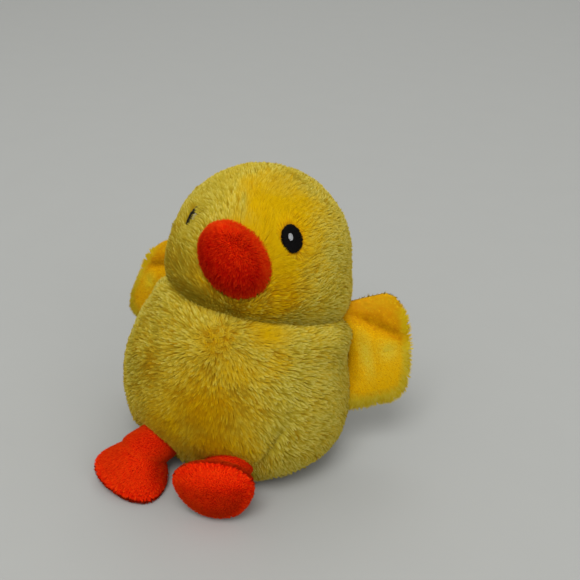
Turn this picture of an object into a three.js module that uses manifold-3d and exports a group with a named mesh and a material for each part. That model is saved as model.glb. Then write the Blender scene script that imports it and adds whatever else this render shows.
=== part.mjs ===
// Stuffed chick dog toy, sitting: plush panels over stuffing, with a squeaker in the belly.
// Millimetres, +Z up. The toy faces -Y, its left side is +X, and the origin is the centre of its seat.
import * as THREE from "three";
import { mergeVertices } from "three/addons/utils/BufferGeometryUtils.js";
import Module from "manifold-3d";

// Cloth and gaps
const PLUSH_THICKNESS = 3.4; // pile and backing of the body and head panels
const LIMB_THICKNESS = 1.4; // short pile of the beak, wings, legs and feet
const PAD_POWER = 0.8; // how roundly a pad swells in from its edge
const FILLING_REACH = 0.85; // a pad's filling over its outline
const FILLING_FULLNESS = 0.5; // a pad's filling over its swell
const GAP = 0.3; // clear space between neighbouring pieces
const FILLING_GAP = 0.9; // between a panel's backing and the stuffing
const SEAM_DEPTH = 0.9; // how far a seam pulls the plush in
const SEAM_WIDTH = 2.5;

// Body: a pear on a spine that slumps back and a little to the left
const SPINE_LENGTH = 63; // seat to neck
const LEAN = 17.8; // degrees, at the neck
const LEAN_TURN = 12.2; // degrees from straight back towards the toy's left
const SEAT_RADIUS = 26;
const SEAT_SLOPE = 0.3; // the seat narrows by this part of the depth below the surface
const BODY_RADIUS = 43.4;
const BODY_WIDEST = 23; // height of the widest ring
const BODY_DEPTH = 0.9; // depth over width
const NECK_RADIUS = 31;
const TAPER_POWER = 2;
const CROTCH_DEPTH = 4; // how far the leg seams pull the lower belly in
const CROTCH_HEIGHT = 10;
const CROTCH_SPREAD = 32; // degrees
const BASE_SEAM = 8; // height of the seam between base and belly
const BELLY_ANGLE = 66; // degrees from the front to the side seams, at the chest
const BELLY_ANGLE_LOW = 37; // at the base seam
const BELLY_RISE = 50; // height up to which the side seams draw apart
const BELLY_POWER = 1.6;
const BELLY_TOP = 66; // the panels run up into the head and are cut by it

// Head
const HEAD_RADIUS = 33.4;
const HEAD_RISE = 13.3; // head centre above the neck ring
const HEAD_TURN = 8; // degrees to the toy's left, as it sits
const NECK_DEPTH = 6.9; // how much of the head's ball is cut off flat at the neck
const SOCKET_GAP = 0.6; // round the head's ball in the body

// Face
const BEAK_WIDTH = 27.8;
const BEAK_HEIGHT = 21;
const BEAK_DEPTH = 12.5;
const BEAK_SUNK = 3.6; // beak centre inside the head's surface
const BEAK_LATITUDE = 5.5; // degrees
const BEAK_TILT = 43; // degrees, the toy's left end of the width down
const EYE_WIDTH = 7.2;
const EYE_HEIGHT = 10;
const EYE_LONGITUDE = { left: 33, right: 41 }; // degrees from the beak; the eyes are sewn a little askew
const EYE_LATITUDE = { left: 23, right: 20.5 };
const EYE_TILT = { left: 16, right: 0 }; // degrees, top leaning towards the beak
const EYE_THICKNESS = 0.9;
const EYE_SUNK = 3; // the stitches pull the pile down by this much
// Rings of a domed patch of stitching, over its half width and its thickness
const PATCH_RINGS = [{ size: 1, rise: 0 }, { size: 1, rise: 0.5 }, { size: 0.6, rise: 0.9 }];
const GLINT_WIDTH = 2.2;
const GLINT_HEIGHT = 3;
const GLINT_THICKNESS = 0.5;
const GLINT_SHIFT = { across: 0.7, up: 0.5 }; // towards the beak and the crown

// Wings: rounded square pads sewn in along their root
const WING_REACH = 23.5;
const WING_TALL = 44;
const WING_ROOT_DEPTH = 1.2; // part of the reach that sits in the seam
const WING_SQUARENESS = 3;
const WING_PUFF = 2.3; // swell of each face
const WING_CREASE = 1.4; // depth
const WING_CREASE_START = 0.32; // part of the height above the root's middle
const WING_CREASE_FALL = 0.45; // drop per reach
const WING_ANGLE = 112; // degrees from the front, round the body
const WING_HEIGHT = 44.5; // of the root's middle, along the spine
const WING_PROUD = 0.8; // root line above the side panel
const WING_GROOVE = 2.4; // radius of the groove that the root turns in
const WING_SWEEP = { left: 8, right: -10 }; // degrees back from square to the side

// Legs and feet
const LEG_LENGTH = 8; // hip centre to ankle centre
const HIP_RADIUS = 6.6;
const HIP_GAP = 0.9; // room for the hip to swing in the body
const ANKLE_RADIUS = 5.2;
const ANKLE_GAP = 1.2; // room for the ankle to flex in the foot
const HIP_ARC = 35; // degrees past its middle where the hip's ball turns into the shaft
const ANKLE_ARC = 10; // degrees past its middle where the shaft turns into the ankle's ball
const LEG_ANGLE = 24; // degrees from the front, round the body
const HIP_HEIGHT = 10; // along the spine
const HIP_SUNK = 1.5; // hip centre inside the body's surface
const FOOT_LENGTH = 22;
const FOOT_WIDTH = 29;
const FOOT_HEEL = 5; // part of the length behind the ankle
const FOOT_FLARE = 0.18; // toe end wider than the heel
const FOOT_DROP = 6; // seam of the pad below the ankle centre
const UPPER_PUFF = 3.4;
const SOLE_PUFF = 1.6;
const FOOT_POSE = {
  left: { legTurn: -14, turn: 15, flex: 90, roll: -7, lift: -2.2 },
  right: { legTurn: -26, turn: 0, flex: 0, roll: 0, lift: 0 },
};

// Squeaker
const SQUEAKER_RADIUS = 13;
const SQUEAKER_WALL = 1.2;
const SQUEAKER_SHELL_TALL = 10;
const SQUEAKER_BULB_TALL = 12;
const SQUEAKER_STROKE = 6;
const SQUEAKER_FLOOR = 10; // underside above the seat
const SQUEAKER_BACK = 2.5; // behind the seat's centre
const REED_RADIUS = 3;
const REED_TALL = 4;

// How finely the round forms are cut into facets
const BODY_COLUMNS = 34;
const BODY_ROWS = 8;
const HEAD_COLUMNS = 28; // a multiple of four, so that the seams lie on facet edges
const HEAD_ROWS = 14;
const FILLING_COLUMNS = 20;
const FILLING_ROWS = 8;
const PAD_COLUMNS = 22;
const PAD_ROWS = 3;
const LATHE_COLUMNS = 14;
const HIP_STEPS = 5;
const ANKLE_STEPS = 3;
const OPEN_STEPS = 2; // steps of the hip that the cover leaves open

const SIDES = { left: 1, right: -1 };
const UP = new THREE.Vector3(0, 0, 1);
const wasm = await Module();
wasm.setup();

const radians = THREE.MathUtils.degToRad;
const vector = (x, y, z) => new THREE.Vector3(x, y, z);
const bell = (distance, width) => Math.exp(-((distance / width) ** 2));

const plush = (color) => new THREE.MeshStandardMaterial({ color, roughness: 0.95, metalness: 0 });
const MATERIALS = {
  gold: plush(0xc49f10),
  pale: plush(0xc4b04a),
  satin: plush(0xd9a90c),
  orange: plush(0xc8280a),
  black: plush(0x15120f),
  white: plush(0xd8d8d2),
  fibre: plush(0xeeeeea),
  plastic: new THREE.MeshStandardMaterial({ color: 0xe8e8e2, roughness: 0.45, metalness: 0 }),
};

// Geometry tools

function geometryFrom(points, triangles) {
  const geometry = new THREE.BufferGeometry();
  geometry.setAttribute("position", new THREE.Float32BufferAttribute(points.flatMap((p) => p.toArray()), 3));
  geometry.setIndex(triangles);
  return geometry;
}

function signedVolume(geometry) {
  const place = geometry.attributes.position;
  const index = geometry.index;
  const corners = [vector(0, 0, 0), vector(0, 0, 0), vector(0, 0, 0)];
  let volume = 0;
  for (let i = 0; i < index.count; i += 3) {
    corners.forEach((corner, k) => corner.fromBufferAttribute(place, index.getX(i + k)));
    volume += corners[0].dot(corners[1].clone().cross(corners[2])) / 6;
  }
  return volume;
}

// Turns every face outwards.
function facedOut(geometry) {
  if (signedVolume(geometry) < 0) {
    const index = geometry.index.array;
    for (let i = 0; i < index.length; i += 3) {
      [index[i + 1], index[i + 2]] = [index[i + 2], index[i + 1]];
    }
  }
  return geometry;
}

// A stack of closed rings with a point at each end; point(ring, turn) takes turn from 0 to 2 pi.
function ringSolid(rings, columns, point, first, last) {
  const points = [];
  const triangles = [];
  for (let ring = 0; ring < rings; ring += 1) {
    for (let column = 0; column < columns; column += 1) {
      points.push(point(ring, (2 * Math.PI * column) / columns));
    }
  }
  const firstIndex = points.push(first) - 1;
  const lastIndex = points.push(last) - 1;
  for (let column = 0; column < columns; column += 1) {
    const next = (column + 1) % columns;
    triangles.push(firstIndex, next, column);
    for (let ring = 0; ring + 1 < rings; ring += 1) {
      const low = ring * columns;
      const high = low + columns;
      triangles.push(low + column, low + next, high + next, low + column, high + next, high + column);
    }
    const top = (rings - 1) * columns;
    triangles.push(lastIndex, top + column, top + next);
  }
  return facedOut(geometryFrom(points, triangles));
}

// A bent slab: point(across, along, inset) gives its two faces, with across and along from 0 to 1.
function slabSolid(columns, rows, point, thickness) {
  const points = [];
  const triangles = [];
  const width = columns + 1;
  const layer = width * (rows + 1);
  for (const inset of [0, thickness]) {
    for (let row = 0; row <= rows; row += 1) {
      for (let column = 0; column <= columns; column += 1) {
        points.push(point(column / columns, row / rows, inset));
      }
    }
  }
  const quad = (a, b, c, d) => triangles.push(a, b, c, a, c, d);
  for (let row = 0; row < rows; row += 1) {
    for (let column = 0; column < columns; column += 1) {
      const a = row * width + column;
      quad(a, a + 1, a + width + 1, a + width);
      quad(layer + a, layer + a + width, layer + a + width + 1, layer + a + 1);
    }
  }
  for (let column = 0; column < columns; column += 1) {
    const top = rows * width + column;
    quad(column, layer + column, layer + column + 1, column + 1);
    quad(top, top + 1, layer + top + 1, layer + top);
  }
  for (let row = 0; row < rows; row += 1) {
    const a = row * width;
    const b = a + columns;
    quad(a, a + width, layer + a + width, layer + a);
    quad(b, layer + b, layer + b + width, b + width);
  }
  return facedOut(geometryFrom(points, triangles));
}

function latheSolid(profile) {
  const outline = profile.map(([radius, height]) => new THREE.Vector2(radius, height));
  const geometry = new THREE.LatheGeometry(outline, LATHE_COLUMNS);
  geometry.deleteAttribute("normal");
  geometry.deleteAttribute("uv");
  return facedOut(mergeVertices(geometry, 1e-4));
}

// Points of an arc round the axis of a lathe, from one angle above the middle to another, in degrees.
function latheArc(radius, middle, from, to, steps) {
  return Array.from({ length: steps + 1 }, (_, i) => {
    const angle = radians(from + ((to - from) * i) / steps);
    return [Math.max(0, radius * Math.cos(angle)), middle + radius * Math.sin(angle)];
  });
}

function ballGeometry(radius, centre, columns = FILLING_COLUMNS, rows = FILLING_ROWS) {
  const geometry = new THREE.SphereGeometry(radius, columns, rows);
  geometry.rotateX(Math.PI / 2);
  return geometry.translate(centre.x, centre.y, centre.z);
}

function boxGeometry(low, high) {
  const size = high.clone().sub(low);
  const middle = low.clone().add(high).multiplyScalar(0.5);
  return new THREE.BoxGeometry(size.x, size.y, size.z).translate(middle.x, middle.y, middle.z);
}

function toSolid(geometry) {
  const plain = geometry.index ? geometry.clone() : mergeVertices(geometry.clone());
  plain.deleteAttribute("normal");
  plain.deleteAttribute("uv");
  const merged = mergeVertices(plain, 1e-5);
  return new wasm.Manifold(
    new wasm.Mesh({
      numProp: 3,
      vertProperties: new Float32Array(merged.attributes.position.array),
      triVerts: new Uint32Array(merged.index.array),
    }),
  );
}

function toGeometry(solid) {
  const mesh = solid.getMesh();
  const geometry = new THREE.BufferGeometry();
  geometry.setAttribute("position", new THREE.Float32BufferAttribute(mesh.vertProperties, 3));
  geometry.setIndex(Array.from(mesh.triVerts));
  return geometry;
}

function cut(geometry, ...cutters) {
  return toGeometry(cutters.reduce((solid, cutter) => solid.subtract(toSolid(cutter)), toSolid(geometry)));
}

function keep(geometry, limit) {
  return toGeometry(toSolid(geometry).intersect(toSolid(limit)));
}

function addPiece(group, name, geometry, material) {
  const shaded = geometry.clone();
  shaded.computeVertexNormals();
  const mesh = new THREE.Mesh(shaded, material);
  mesh.name = name;
  group.add(mesh);
}

// Body surface

// Centre and axes of the body's ring at a height along its slumped spine.
function spineRing(height) {
  const lean = radians(LEAN);
  const turn = radians(LEAN_TURN);
  const bend = SPINE_LENGTH / lean;
  const angle = lean * Math.min(height / SPINE_LENGTH, 1);
  const away = vector(Math.sin(turn), Math.cos(turn), 0);
  const along = away.clone().multiplyScalar(Math.sin(angle)).addScaledVector(UP, Math.cos(angle));
  const centre = away.clone().multiplyScalar(bend * (1 - Math.cos(angle)));
  centre.addScaledVector(UP, bend * Math.sin(angle));
  centre.addScaledVector(along, Math.max(0, height - SPINE_LENGTH));
  const tip = new THREE.Quaternion().setFromUnitVectors(UP, along);
  const across = vector(1, 0, 0).applyQuaternion(tip);
  const back = vector(0, 1, 0).applyQuaternion(tip);
  return { centre, along, across, back };
}

// Round below the widest ring, tapering to the neck above it.
function bodyRadius(height, inset) {
  const widest = BODY_RADIUS - inset;
  if (height > BODY_WIDEST) {
    const climb = (height - BODY_WIDEST) / (SPINE_LENGTH - BODY_WIDEST);
    return widest - (BODY_RADIUS - NECK_RADIUS) * climb ** TAPER_POWER;
  }
  const seat = SEAT_RADIUS - SEAT_SLOPE * inset;
  const climb = Math.max(0, (height - inset) / (BODY_WIDEST - inset));
  return seat + (widest - seat) * Math.sqrt(1 - (1 - climb) ** 2);
}

// Angle of the side seams from the front, in degrees: the belly panel narrows down to the legs.
function bellyAngle(height) {
  const climb = THREE.MathUtils.clamp((height - BASE_SEAM) / (BELLY_RISE - BASE_SEAM), 0, 1);
  return BELLY_ANGLE_LOW + (BELLY_ANGLE - BELLY_ANGLE_LOW) * climb ** BELLY_POWER;
}

// Point of the body's surface at an angle from the front, in degrees, positive to the toy's left.
function bodyPoint(angle, height, inset) {
  const ring = spineRing(height);
  const flat = Math.abs(THREE.MathUtils.euclideanModulo(angle + 180, 360) - 180);
  let radius = bodyRadius(height, inset);
  if (inset === 0) {
    const sideSeam = radians(flat - bellyAngle(height)) * radius;
    const backSeam = radians(180 - flat) * radius;
    const upright = height > BASE_SEAM ? Math.max(bell(sideSeam, SEAM_WIDTH), bell(backSeam, SEAM_WIDTH)) : 0;
    radius -= SEAM_DEPTH * Math.max(upright, bell(height - BASE_SEAM, SEAM_WIDTH));
  }
  radius -= CROTCH_DEPTH * bell(flat, CROTCH_SPREAD) * bell(height - CROTCH_HEIGHT, CROTCH_HEIGHT);
  const side = radius * Math.sin(radians(angle));
  const front = radius * BODY_DEPTH * Math.cos(radians(angle));
  return ring.centre.addScaledVector(ring.across, side).addScaledVector(ring.back, -front);
}

// Outward direction of the body's surface, and the direction up along it.
function bodySlope(angle, height) {
  const step = 0.5;
  const up = bodyPoint(angle, height + step, 0).sub(bodyPoint(angle, height - step, 0)).normalize();
  const round = bodyPoint(angle + step, height, 0).sub(bodyPoint(angle - step, height, 0)).normalize();
  return { up, out: round.cross(up).normalize() };
}

// Places of the jointed pieces

const neckRing = spineRing(SPINE_LENGTH);
const headCentre = neckRing.centre.clone().addScaledVector(neckRing.along, HEAD_RISE);
const headTurn = new THREE.Quaternion().setFromUnitVectors(UP, neckRing.along);
headTurn.multiply(new THREE.Quaternion().setFromAxisAngle(UP, radians(HEAD_TURN)));
const socketBall = ballGeometry(HEAD_RADIUS + SOCKET_GAP, headCentre, HEAD_COLUMNS, HEAD_ROWS);

function wingPlace(side) {
  const angle = SIDES[side] * WING_ANGLE;
  const slope = bodySlope(angle, WING_HEIGHT);
  const root = bodyPoint(angle, WING_HEIGHT, 0).addScaledVector(slope.out, WING_PROUD);
  const reach = slope.out.clone().applyAxisAngle(slope.up, radians(SIDES[side] * WING_SWEEP[side]));
  const thick = slope.up.clone().cross(reach);
  const matrix = new THREE.Matrix4().makeBasis(reach, thick, slope.up).setPosition(root);
  return { root, axis: slope.up, matrix };
}

function legPlace(side) {
  const pose = FOOT_POSE[side];
  const angle = SIDES[side] * LEG_ANGLE;
  const hip = bodyPoint(angle, HIP_HEIGHT, 0);
  hip.addScaledVector(bodySlope(angle, HIP_HEIGHT).out, -HIP_SUNK);
  const ankleHeight = FOOT_DROP + SOLE_PUFF + LIMB_THICKNESS + 2 * GAP + pose.lift;
  const drop = THREE.MathUtils.clamp((hip.z - ankleHeight) / LEG_LENGTH, -1, 1);
  const level = Math.sqrt(1 - drop ** 2);
  const turn = radians(pose.legTurn);
  const along = vector(Math.sin(turn) * level, -Math.cos(turn) * level, -drop);
  const ankle = hip.clone().addScaledVector(along, LEG_LENGTH);
  const legTurn = new THREE.Quaternion().setFromUnitVectors(vector(0, 1, 0), along);
  const footTurn = new THREE.Quaternion().setFromEuler(
    new THREE.Euler(radians(-pose.flex), radians(pose.roll), radians(pose.turn), "ZYX"),
  );
  const swingAxis = vector(Math.cos(turn), Math.sin(turn), 0);
  return { hip, ankle, legTurn, footTurn, swingAxis };
}

const wings = { left: wingPlace("left"), right: wingPlace("right") };
const legs = { left: legPlace("left"), right: legPlace("right") };

// Cutters that clear the hips and wing roots out of the body
function hipBalls() {
  return Object.values(legs).map(({ hip }) => ballGeometry(HIP_RADIUS + HIP_GAP, hip));
}

function wingGroove(side) {
  const groove = new THREE.CylinderGeometry(WING_GROOVE, WING_GROOVE, WING_TALL, LATHE_COLUMNS);
  return groove.rotateX(Math.PI / 2).applyMatrix4(wings[side].matrix);
}

// Body pieces

function basePanel() {
  const rim = BASE_SEAM - GAP / 2;
  const rings = [];
  for (let row = 0; row <= PAD_ROWS; row += 1) {
    rings.push([rim * (row / PAD_ROWS) ** 2, 0]);
  }
  for (let row = PAD_ROWS; row >= 0; row -= 1) {
    rings.push([PLUSH_THICKNESS + (rim - PLUSH_THICKNESS) * (row / PAD_ROWS) ** 2, PLUSH_THICKNESS]);
  }
  const point = (ring, turn) => bodyPoint(THREE.MathUtils.radToDeg(turn), ...rings[ring]);
  const inside = vector(0, 0, PLUSH_THICKNESS);
  const bowl = ringSolid(rings.length, BODY_COLUMNS, point, vector(0, 0, 0), inside);
  return cut(bowl, ...hipBalls());
}

// A panel of the body between two angles that may change with height.
function bodyPanel(columns, fromAngle, toAngle, ...cutters) {
  const bottom = BASE_SEAM + GAP / 2;
  const point = (across, along, inset) => {
    const height = bottom + (BELLY_TOP - bottom) * along;
    const gapAngle = THREE.MathUtils.radToDeg(GAP / 2 / bodyRadius(height, 0));
    const from = fromAngle(height) + gapAngle;
    const to = toAngle(height) - gapAngle;
    return bodyPoint(from + (to - from) * across, height, inset);
  };
  const slab = slabSolid(columns, BODY_ROWS, point, PLUSH_THICKNESS);
  return cut(slab, socketBall, ...hipBalls(), ...cutters);
}

function bodyStuffing(isFront) {
  const inset = PLUSH_THICKNESS + FILLING_GAP;
  const rings = FILLING_ROWS;
  const heightOf = (ring) => inset + (BELLY_TOP - inset) * (ring / (rings - 1));
  const point = (ring, turn) => bodyPoint(THREE.MathUtils.radToDeg(turn), heightOf(ring), inset);
  const core = ringSolid(rings, FILLING_COLUMNS, point, vector(0, 0, inset), spineRing(BELLY_TOP).centre);
  const far = 2 * BODY_RADIUS;
  const low = vector(-far, isFront ? -far : SQUEAKER_BACK + GAP / 2, -far);
  const high = vector(far, isFront ? SQUEAKER_BACK - GAP / 2 : far, 2 * far);
  const whole = cut(core, socketBall, squeakerPocket(), ...hipBalls());
  return keep(whole, boxGeometry(low, high));
}

function squeakerPocket() {
  const radius = SQUEAKER_RADIUS + GAP;
  const tall = SQUEAKER_SHELL_TALL + SQUEAKER_BULB_TALL;
  const pocket = new THREE.CylinderGeometry(radius, radius, tall, LATHE_COLUMNS);
  return pocket.rotateX(Math.PI / 2).translate(0, SQUEAKER_BACK, SQUEAKER_FLOOR - GAP + tall / 2);
}

function addBody(group) {
  const right = (height) => -bellyAngle(height);
  const back = () => 180;
  const bellyColumns = Math.round((BODY_COLUMNS * BELLY_ANGLE) / 180);
  const sideColumns = Math.round((BODY_COLUMNS * (180 - BELLY_ANGLE)) / 360);
  addPiece(group, "base_panel", basePanel(), MATERIALS.gold);
  addPiece(group, "belly_panel", bodyPanel(bellyColumns, right, bellyAngle), MATERIALS.gold);
  const leftPanel = bodyPanel(sideColumns, bellyAngle, back, wingGroove("left"));
  const rightPanel = bodyPanel(sideColumns, () => -180, right, wingGroove("right"));
  addPiece(group, "side_panel_left", leftPanel, MATERIALS.pale);
  addPiece(group, "side_panel_right", rightPanel, MATERIALS.pale);
  addPiece(group, "body_stuffing_front", bodyStuffing(true), MATERIALS.fibre);
  addPiece(group, "body_stuffing_back", bodyStuffing(false), MATERIALS.fibre);
}

// Squeaker: a bulb that slides down into a shell with a reed in its floor
function addSqueaker(group) {
  const place = new THREE.Group();
  place.position.set(0, SQUEAKER_BACK, SQUEAKER_FLOOR);
  place.rotation.x = Math.PI / 2;
  const wall = SQUEAKER_WALL;
  const inner = SQUEAKER_RADIUS - wall;
  const bulbOuter = inner - GAP;
  const bulbInner = bulbOuter - wall;
  const hole = REED_RADIUS + GAP;
  const rim = SQUEAKER_SHELL_TALL;
  const foot = wall + GAP + SQUEAKER_STROKE;
  const top = foot + SQUEAKER_BULB_TALL;
  const shell = [[hole, 0], [SQUEAKER_RADIUS, 0], [SQUEAKER_RADIUS, rim], [inner, rim], [inner, wall]];
  shell.push([hole, wall], [hole, 0]);
  const bulb = [[0, top], [bulbInner, top], [bulbOuter, top - wall], [bulbOuter, foot], [bulbInner, foot]];
  bulb.push([bulbInner, top - wall], [0, top - wall]);
  const reed = [[0, 0], [REED_RADIUS, 0], [REED_RADIUS, REED_TALL], [0, REED_TALL]];
  addPiece(place, "squeaker_shell", latheSolid(shell), MATERIALS.plastic);
  addPiece(place, "squeaker_bulb", latheSolid(bulb), MATERIALS.plastic);
  addPiece(place, "squeaker_reed", latheSolid(reed), MATERIALS.plastic);
  group.add(place);
}

// Head pieces, in a group whose origin is the head's centre and whose -Y is the face

// Ball with a shallow valley along each of its four seams.
function headBall(inset, seamDepth) {
  const rings = HEAD_ROWS - 1;
  const radius = HEAD_RADIUS - inset;
  const point = (ring, turn) => {
    const latitude = Math.PI * ((ring + 1) / HEAD_ROWS - 0.5);
    const quarter = Math.PI / 2;
    const away = Math.abs(THREE.MathUtils.euclideanModulo(turn + quarter / 2, quarter) - quarter / 2);
    const reach = radius - seamDepth * bell(away * radius * Math.cos(latitude), SEAM_WIDTH);
    const level = reach * Math.cos(latitude);
    return vector(level * Math.cos(turn), level * Math.sin(turn), reach * Math.sin(latitude));
  };
  const pole = radius - seamDepth;
  return ringSolid(rings, HEAD_COLUMNS, point, vector(0, 0, -radius), vector(0, 0, pole));
}

function onHead(longitude, latitude, radius) {
  const level = Math.cos(radians(latitude)) * radius;
  const turn = radians(longitude);
  return vector(Math.sin(turn) * level, -Math.cos(turn) * level, Math.sin(radians(latitude)) * radius);
}

// Turns a piece built on +Z so that it stands on the head, its +Y towards the crown, then tilts it.
function headFrame(longitude, latitude, radius, tilt) {
  const out = onHead(longitude, latitude, 1);
  const across = UP.clone().cross(out).normalize();
  const up = out.clone().cross(across);
  const place = out.clone().multiplyScalar(radius);
  const matrix = new THREE.Matrix4().makeBasis(across, up, out).setPosition(place);
  return matrix.multiply(new THREE.Matrix4().makeRotationZ(radians(tilt)));
}

// Oval disc with a flat underside at z = 0 and a domed top.
function ovalPatch(width, height, thickness) {
  const point = (ring, turn) => {
    const { size, rise } = PATCH_RINGS[ring];
    const across = (size * width * Math.cos(turn)) / 2;
    const along = (size * height * Math.sin(turn)) / 2;
    return vector(across, along, rise * thickness);
  };
  return ringSolid(PATCH_RINGS.length, LATHE_COLUMNS, point, vector(0, 0, 0), vector(0, 0, thickness));
}

function eyePocket(matrix) {
  const pocket = new THREE.CylinderGeometry(1, 1, HEAD_RADIUS, LATHE_COLUMNS);
  pocket.rotateX(Math.PI / 2).translate(0, 0, HEAD_RADIUS / 2);
  pocket.scale(EYE_WIDTH / 2 + GAP, EYE_HEIGHT / 2 + GAP, 1);
  return pocket.applyMatrix4(matrix);
}

function beakSolid(inset) {
  const centre = onHead(0, BEAK_LATITUDE, HEAD_RADIUS - BEAK_SUNK);
  const ball = new THREE.SphereGeometry(1, FILLING_COLUMNS, FILLING_ROWS);
  ball.scale(BEAK_WIDTH / 2 - inset, BEAK_DEPTH - inset, BEAK_HEIGHT / 2 - inset);
  ball.rotateY(radians(BEAK_TILT)).rotateX(radians(-BEAK_LATITUDE));
  return ball.translate(centre.x, centre.y, centre.z);
}

function addHead(group) {
  const head = new THREE.Group();
  head.position.copy(headCentre);
  head.quaternion.copy(headTurn);
  const far = 2 * HEAD_RADIUS;
  const middle = vector(0, 0, 0);
  const neckCut = NECK_DEPTH - HEAD_RADIUS;
  const below = boxGeometry(vector(-far, -far, -far), vector(far, far, neckCut));
  const inner = ballGeometry(HEAD_RADIUS - PLUSH_THICKNESS, middle, HEAD_COLUMNS, HEAD_ROWS);
  const eyeFrames = {};
  for (const [side, sign] of Object.entries(SIDES)) {
    const tilt = sign * EYE_TILT[side];
    eyeFrames[side] = headFrame(sign * EYE_LONGITUDE[side], EYE_LATITUDE[side], HEAD_RADIUS - EYE_SUNK, tilt);
  }
  const shell = cut(headBall(0, SEAM_DEPTH), inner, below, ...Object.values(eyeFrames).map(eyePocket));
  for (const [side, sign] of Object.entries(SIDES)) {
    const x = [GAP / 2, far].map((value) => sign * value).sort((a, b) => a - b);
    const front = boxGeometry(vector(x[0], -far, -far), vector(x[1], -GAP / 2, far));
    const back = boxGeometry(vector(x[0], GAP / 2, -far), vector(x[1], far, far));
    addPiece(head, `face_panel_${side}`, keep(shell, front), MATERIALS.gold);
    addPiece(head, `head_back_panel_${side}`, keep(shell, back), MATERIALS.pale);
    const lift = new THREE.Matrix4().makeTranslation(0, 0, GAP);
    const eye = ovalPatch(EYE_WIDTH, EYE_HEIGHT, EYE_THICKNESS).applyMatrix4(lift);
    addPiece(head, `eye_${side}`, eye.applyMatrix4(eyeFrames[side]), MATERIALS.black);
    const glintLift = EYE_THICKNESS + 2 * GAP;
    const shift = vector(-sign * GLINT_SHIFT.across, GLINT_SHIFT.up, glintLift);
    const glint = ovalPatch(GLINT_WIDTH, GLINT_HEIGHT, GLINT_THICKNESS).translate(...shift.toArray());
    addPiece(head, `eye_glint_${side}`, glint.applyMatrix4(eyeFrames[side]), MATERIALS.white);
  }
  const filling = ballGeometry(HEAD_RADIUS - PLUSH_THICKNESS - FILLING_GAP, middle);
  addPiece(head, "head_stuffing", cut(filling, below), MATERIALS.fibre);
  const seat = ballGeometry(HEAD_RADIUS + GAP, middle, HEAD_COLUMNS, HEAD_ROWS);
  const beakFill = LIMB_THICKNESS + GAP;
  addPiece(head, "beak_cover", cut(beakSolid(0), beakSolid(LIMB_THICKNESS), seat), MATERIALS.orange);
  addPiece(head, "beak_stuffing", cut(beakSolid(beakFill), seat), MATERIALS.fibre);
  const above = boxGeometry(vector(-far, -far, neckCut - GAP), vector(far, far, far));
  addPiece(head, "neck_stuffing", cut(ballGeometry(HEAD_RADIUS, middle), above), MATERIALS.fibre);
  group.add(head);
}

// Pads: two cloth faces sewn round the edge over a filling

// outline(turn) is the edge in the pad's plane, centre its middle; swell(x, z) bulges each face.
function padFace(outline, centre, direction, swell) {
  const rings = [];
  for (let row = 1; row <= PAD_ROWS; row += 1) {
    rings.push([row / PAD_ROWS, LIMB_THICKNESS]);
  }
  for (let row = PAD_ROWS; row >= 1; row -= 1) {
    rings.push([row / PAD_ROWS, 0]);
  }
  const place = (size, turn, outset) => {
    const [x, z] = outline(turn).map((value, k) => centre[k] + size * (value - centre[k]));
    const bulge = swell(x, z) * (1 - size ** 2) ** PAD_POWER;
    return vector(x, direction * (GAP / 2 + bulge + outset), z);
  };
  const point = (ring, turn) => place(rings[ring][0], turn, rings[ring][1]);
  return ringSolid(rings.length, PAD_COLUMNS, point, place(0, 0, LIMB_THICKNESS), place(0, 0, 0));
}

// Filling between two faces, kept clear of both.
function padFilling(outline, centre, swells) {
  const sizes = [];
  for (let row = 1; row < PAD_ROWS; row += 1) {
    sizes.push([(FILLING_REACH * row) / (PAD_ROWS - 1), 1]);
  }
  for (let row = PAD_ROWS - 1; row >= 1; row -= 1) {
    sizes.push([(FILLING_REACH * row) / (PAD_ROWS - 1), -1]);
  }
  const place = (size, turn, direction) => {
    const [x, z] = outline(turn).map((value, k) => centre[k] + size * (value - centre[k]));
    const bulge = swells[direction](x, z) * (1 - size ** 2) ** PAD_POWER;
    return vector(x, direction * Math.max(GAP / 2, FILLING_FULLNESS * bulge), z);
  };
  const point = (ring, turn) => place(sizes[ring][0], turn, sizes[ring][1]);
  return ringSolid(sizes.length, PAD_COLUMNS, point, place(0, 0, 1), place(0, 0, -1));
}

// Wings, each in a group whose X reaches out from the root line and whose Z runs along it

function wingOutline(turn) {
  const half = WING_REACH / 2;
  const square = (value) => Math.sign(value) * Math.abs(value) ** (2 / WING_SQUARENESS);
  return [half - WING_ROOT_DEPTH + half * square(Math.cos(turn)), (WING_TALL / 2) * square(Math.sin(turn))];
}

// The front face has a crease from the upper root out to the middle of the tip.
function wingFrontSwell(x, z) {
  const line = WING_TALL * WING_CREASE_START - WING_CREASE_FALL * x;
  const away = (z - line) / Math.hypot(1, WING_CREASE_FALL);
  return WING_PUFF - WING_CREASE * bell(away, SEAM_WIDTH);
}

function addWing(group, side) {
  const wing = new THREE.Group();
  wing.applyMatrix4(wings[side].matrix);
  const centre = [WING_REACH / 2 - WING_ROOT_DEPTH, 0];
  const front = -SIDES[side];
  const backSwell = () => WING_PUFF;
  const swells = { [front]: wingFrontSwell, [-front]: backSwell };
  const frontFace = padFace(wingOutline, centre, front, wingFrontSwell);
  const backFace = padFace(wingOutline, centre, -front, backSwell);
  addPiece(wing, `wing_front_${side}`, frontFace, MATERIALS.satin);
  addPiece(wing, `wing_back_${side}`, backFace, MATERIALS.pale);
  addPiece(wing, `wing_wadding_${side}`, padFilling(wingOutline, centre, swells), MATERIALS.fibre);
  group.add(wing);
}

// Legs, each in a group whose Y runs from the hip to the ankle

function legOutline(inset) {
  const hip = latheArc(HIP_RADIUS - inset, 0, -90, HIP_ARC, HIP_STEPS);
  const ankle = latheArc(ANKLE_RADIUS - inset, LEG_LENGTH, ANKLE_ARC, 90, ANKLE_STEPS);
  return [...hip, ...ankle];
}

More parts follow.
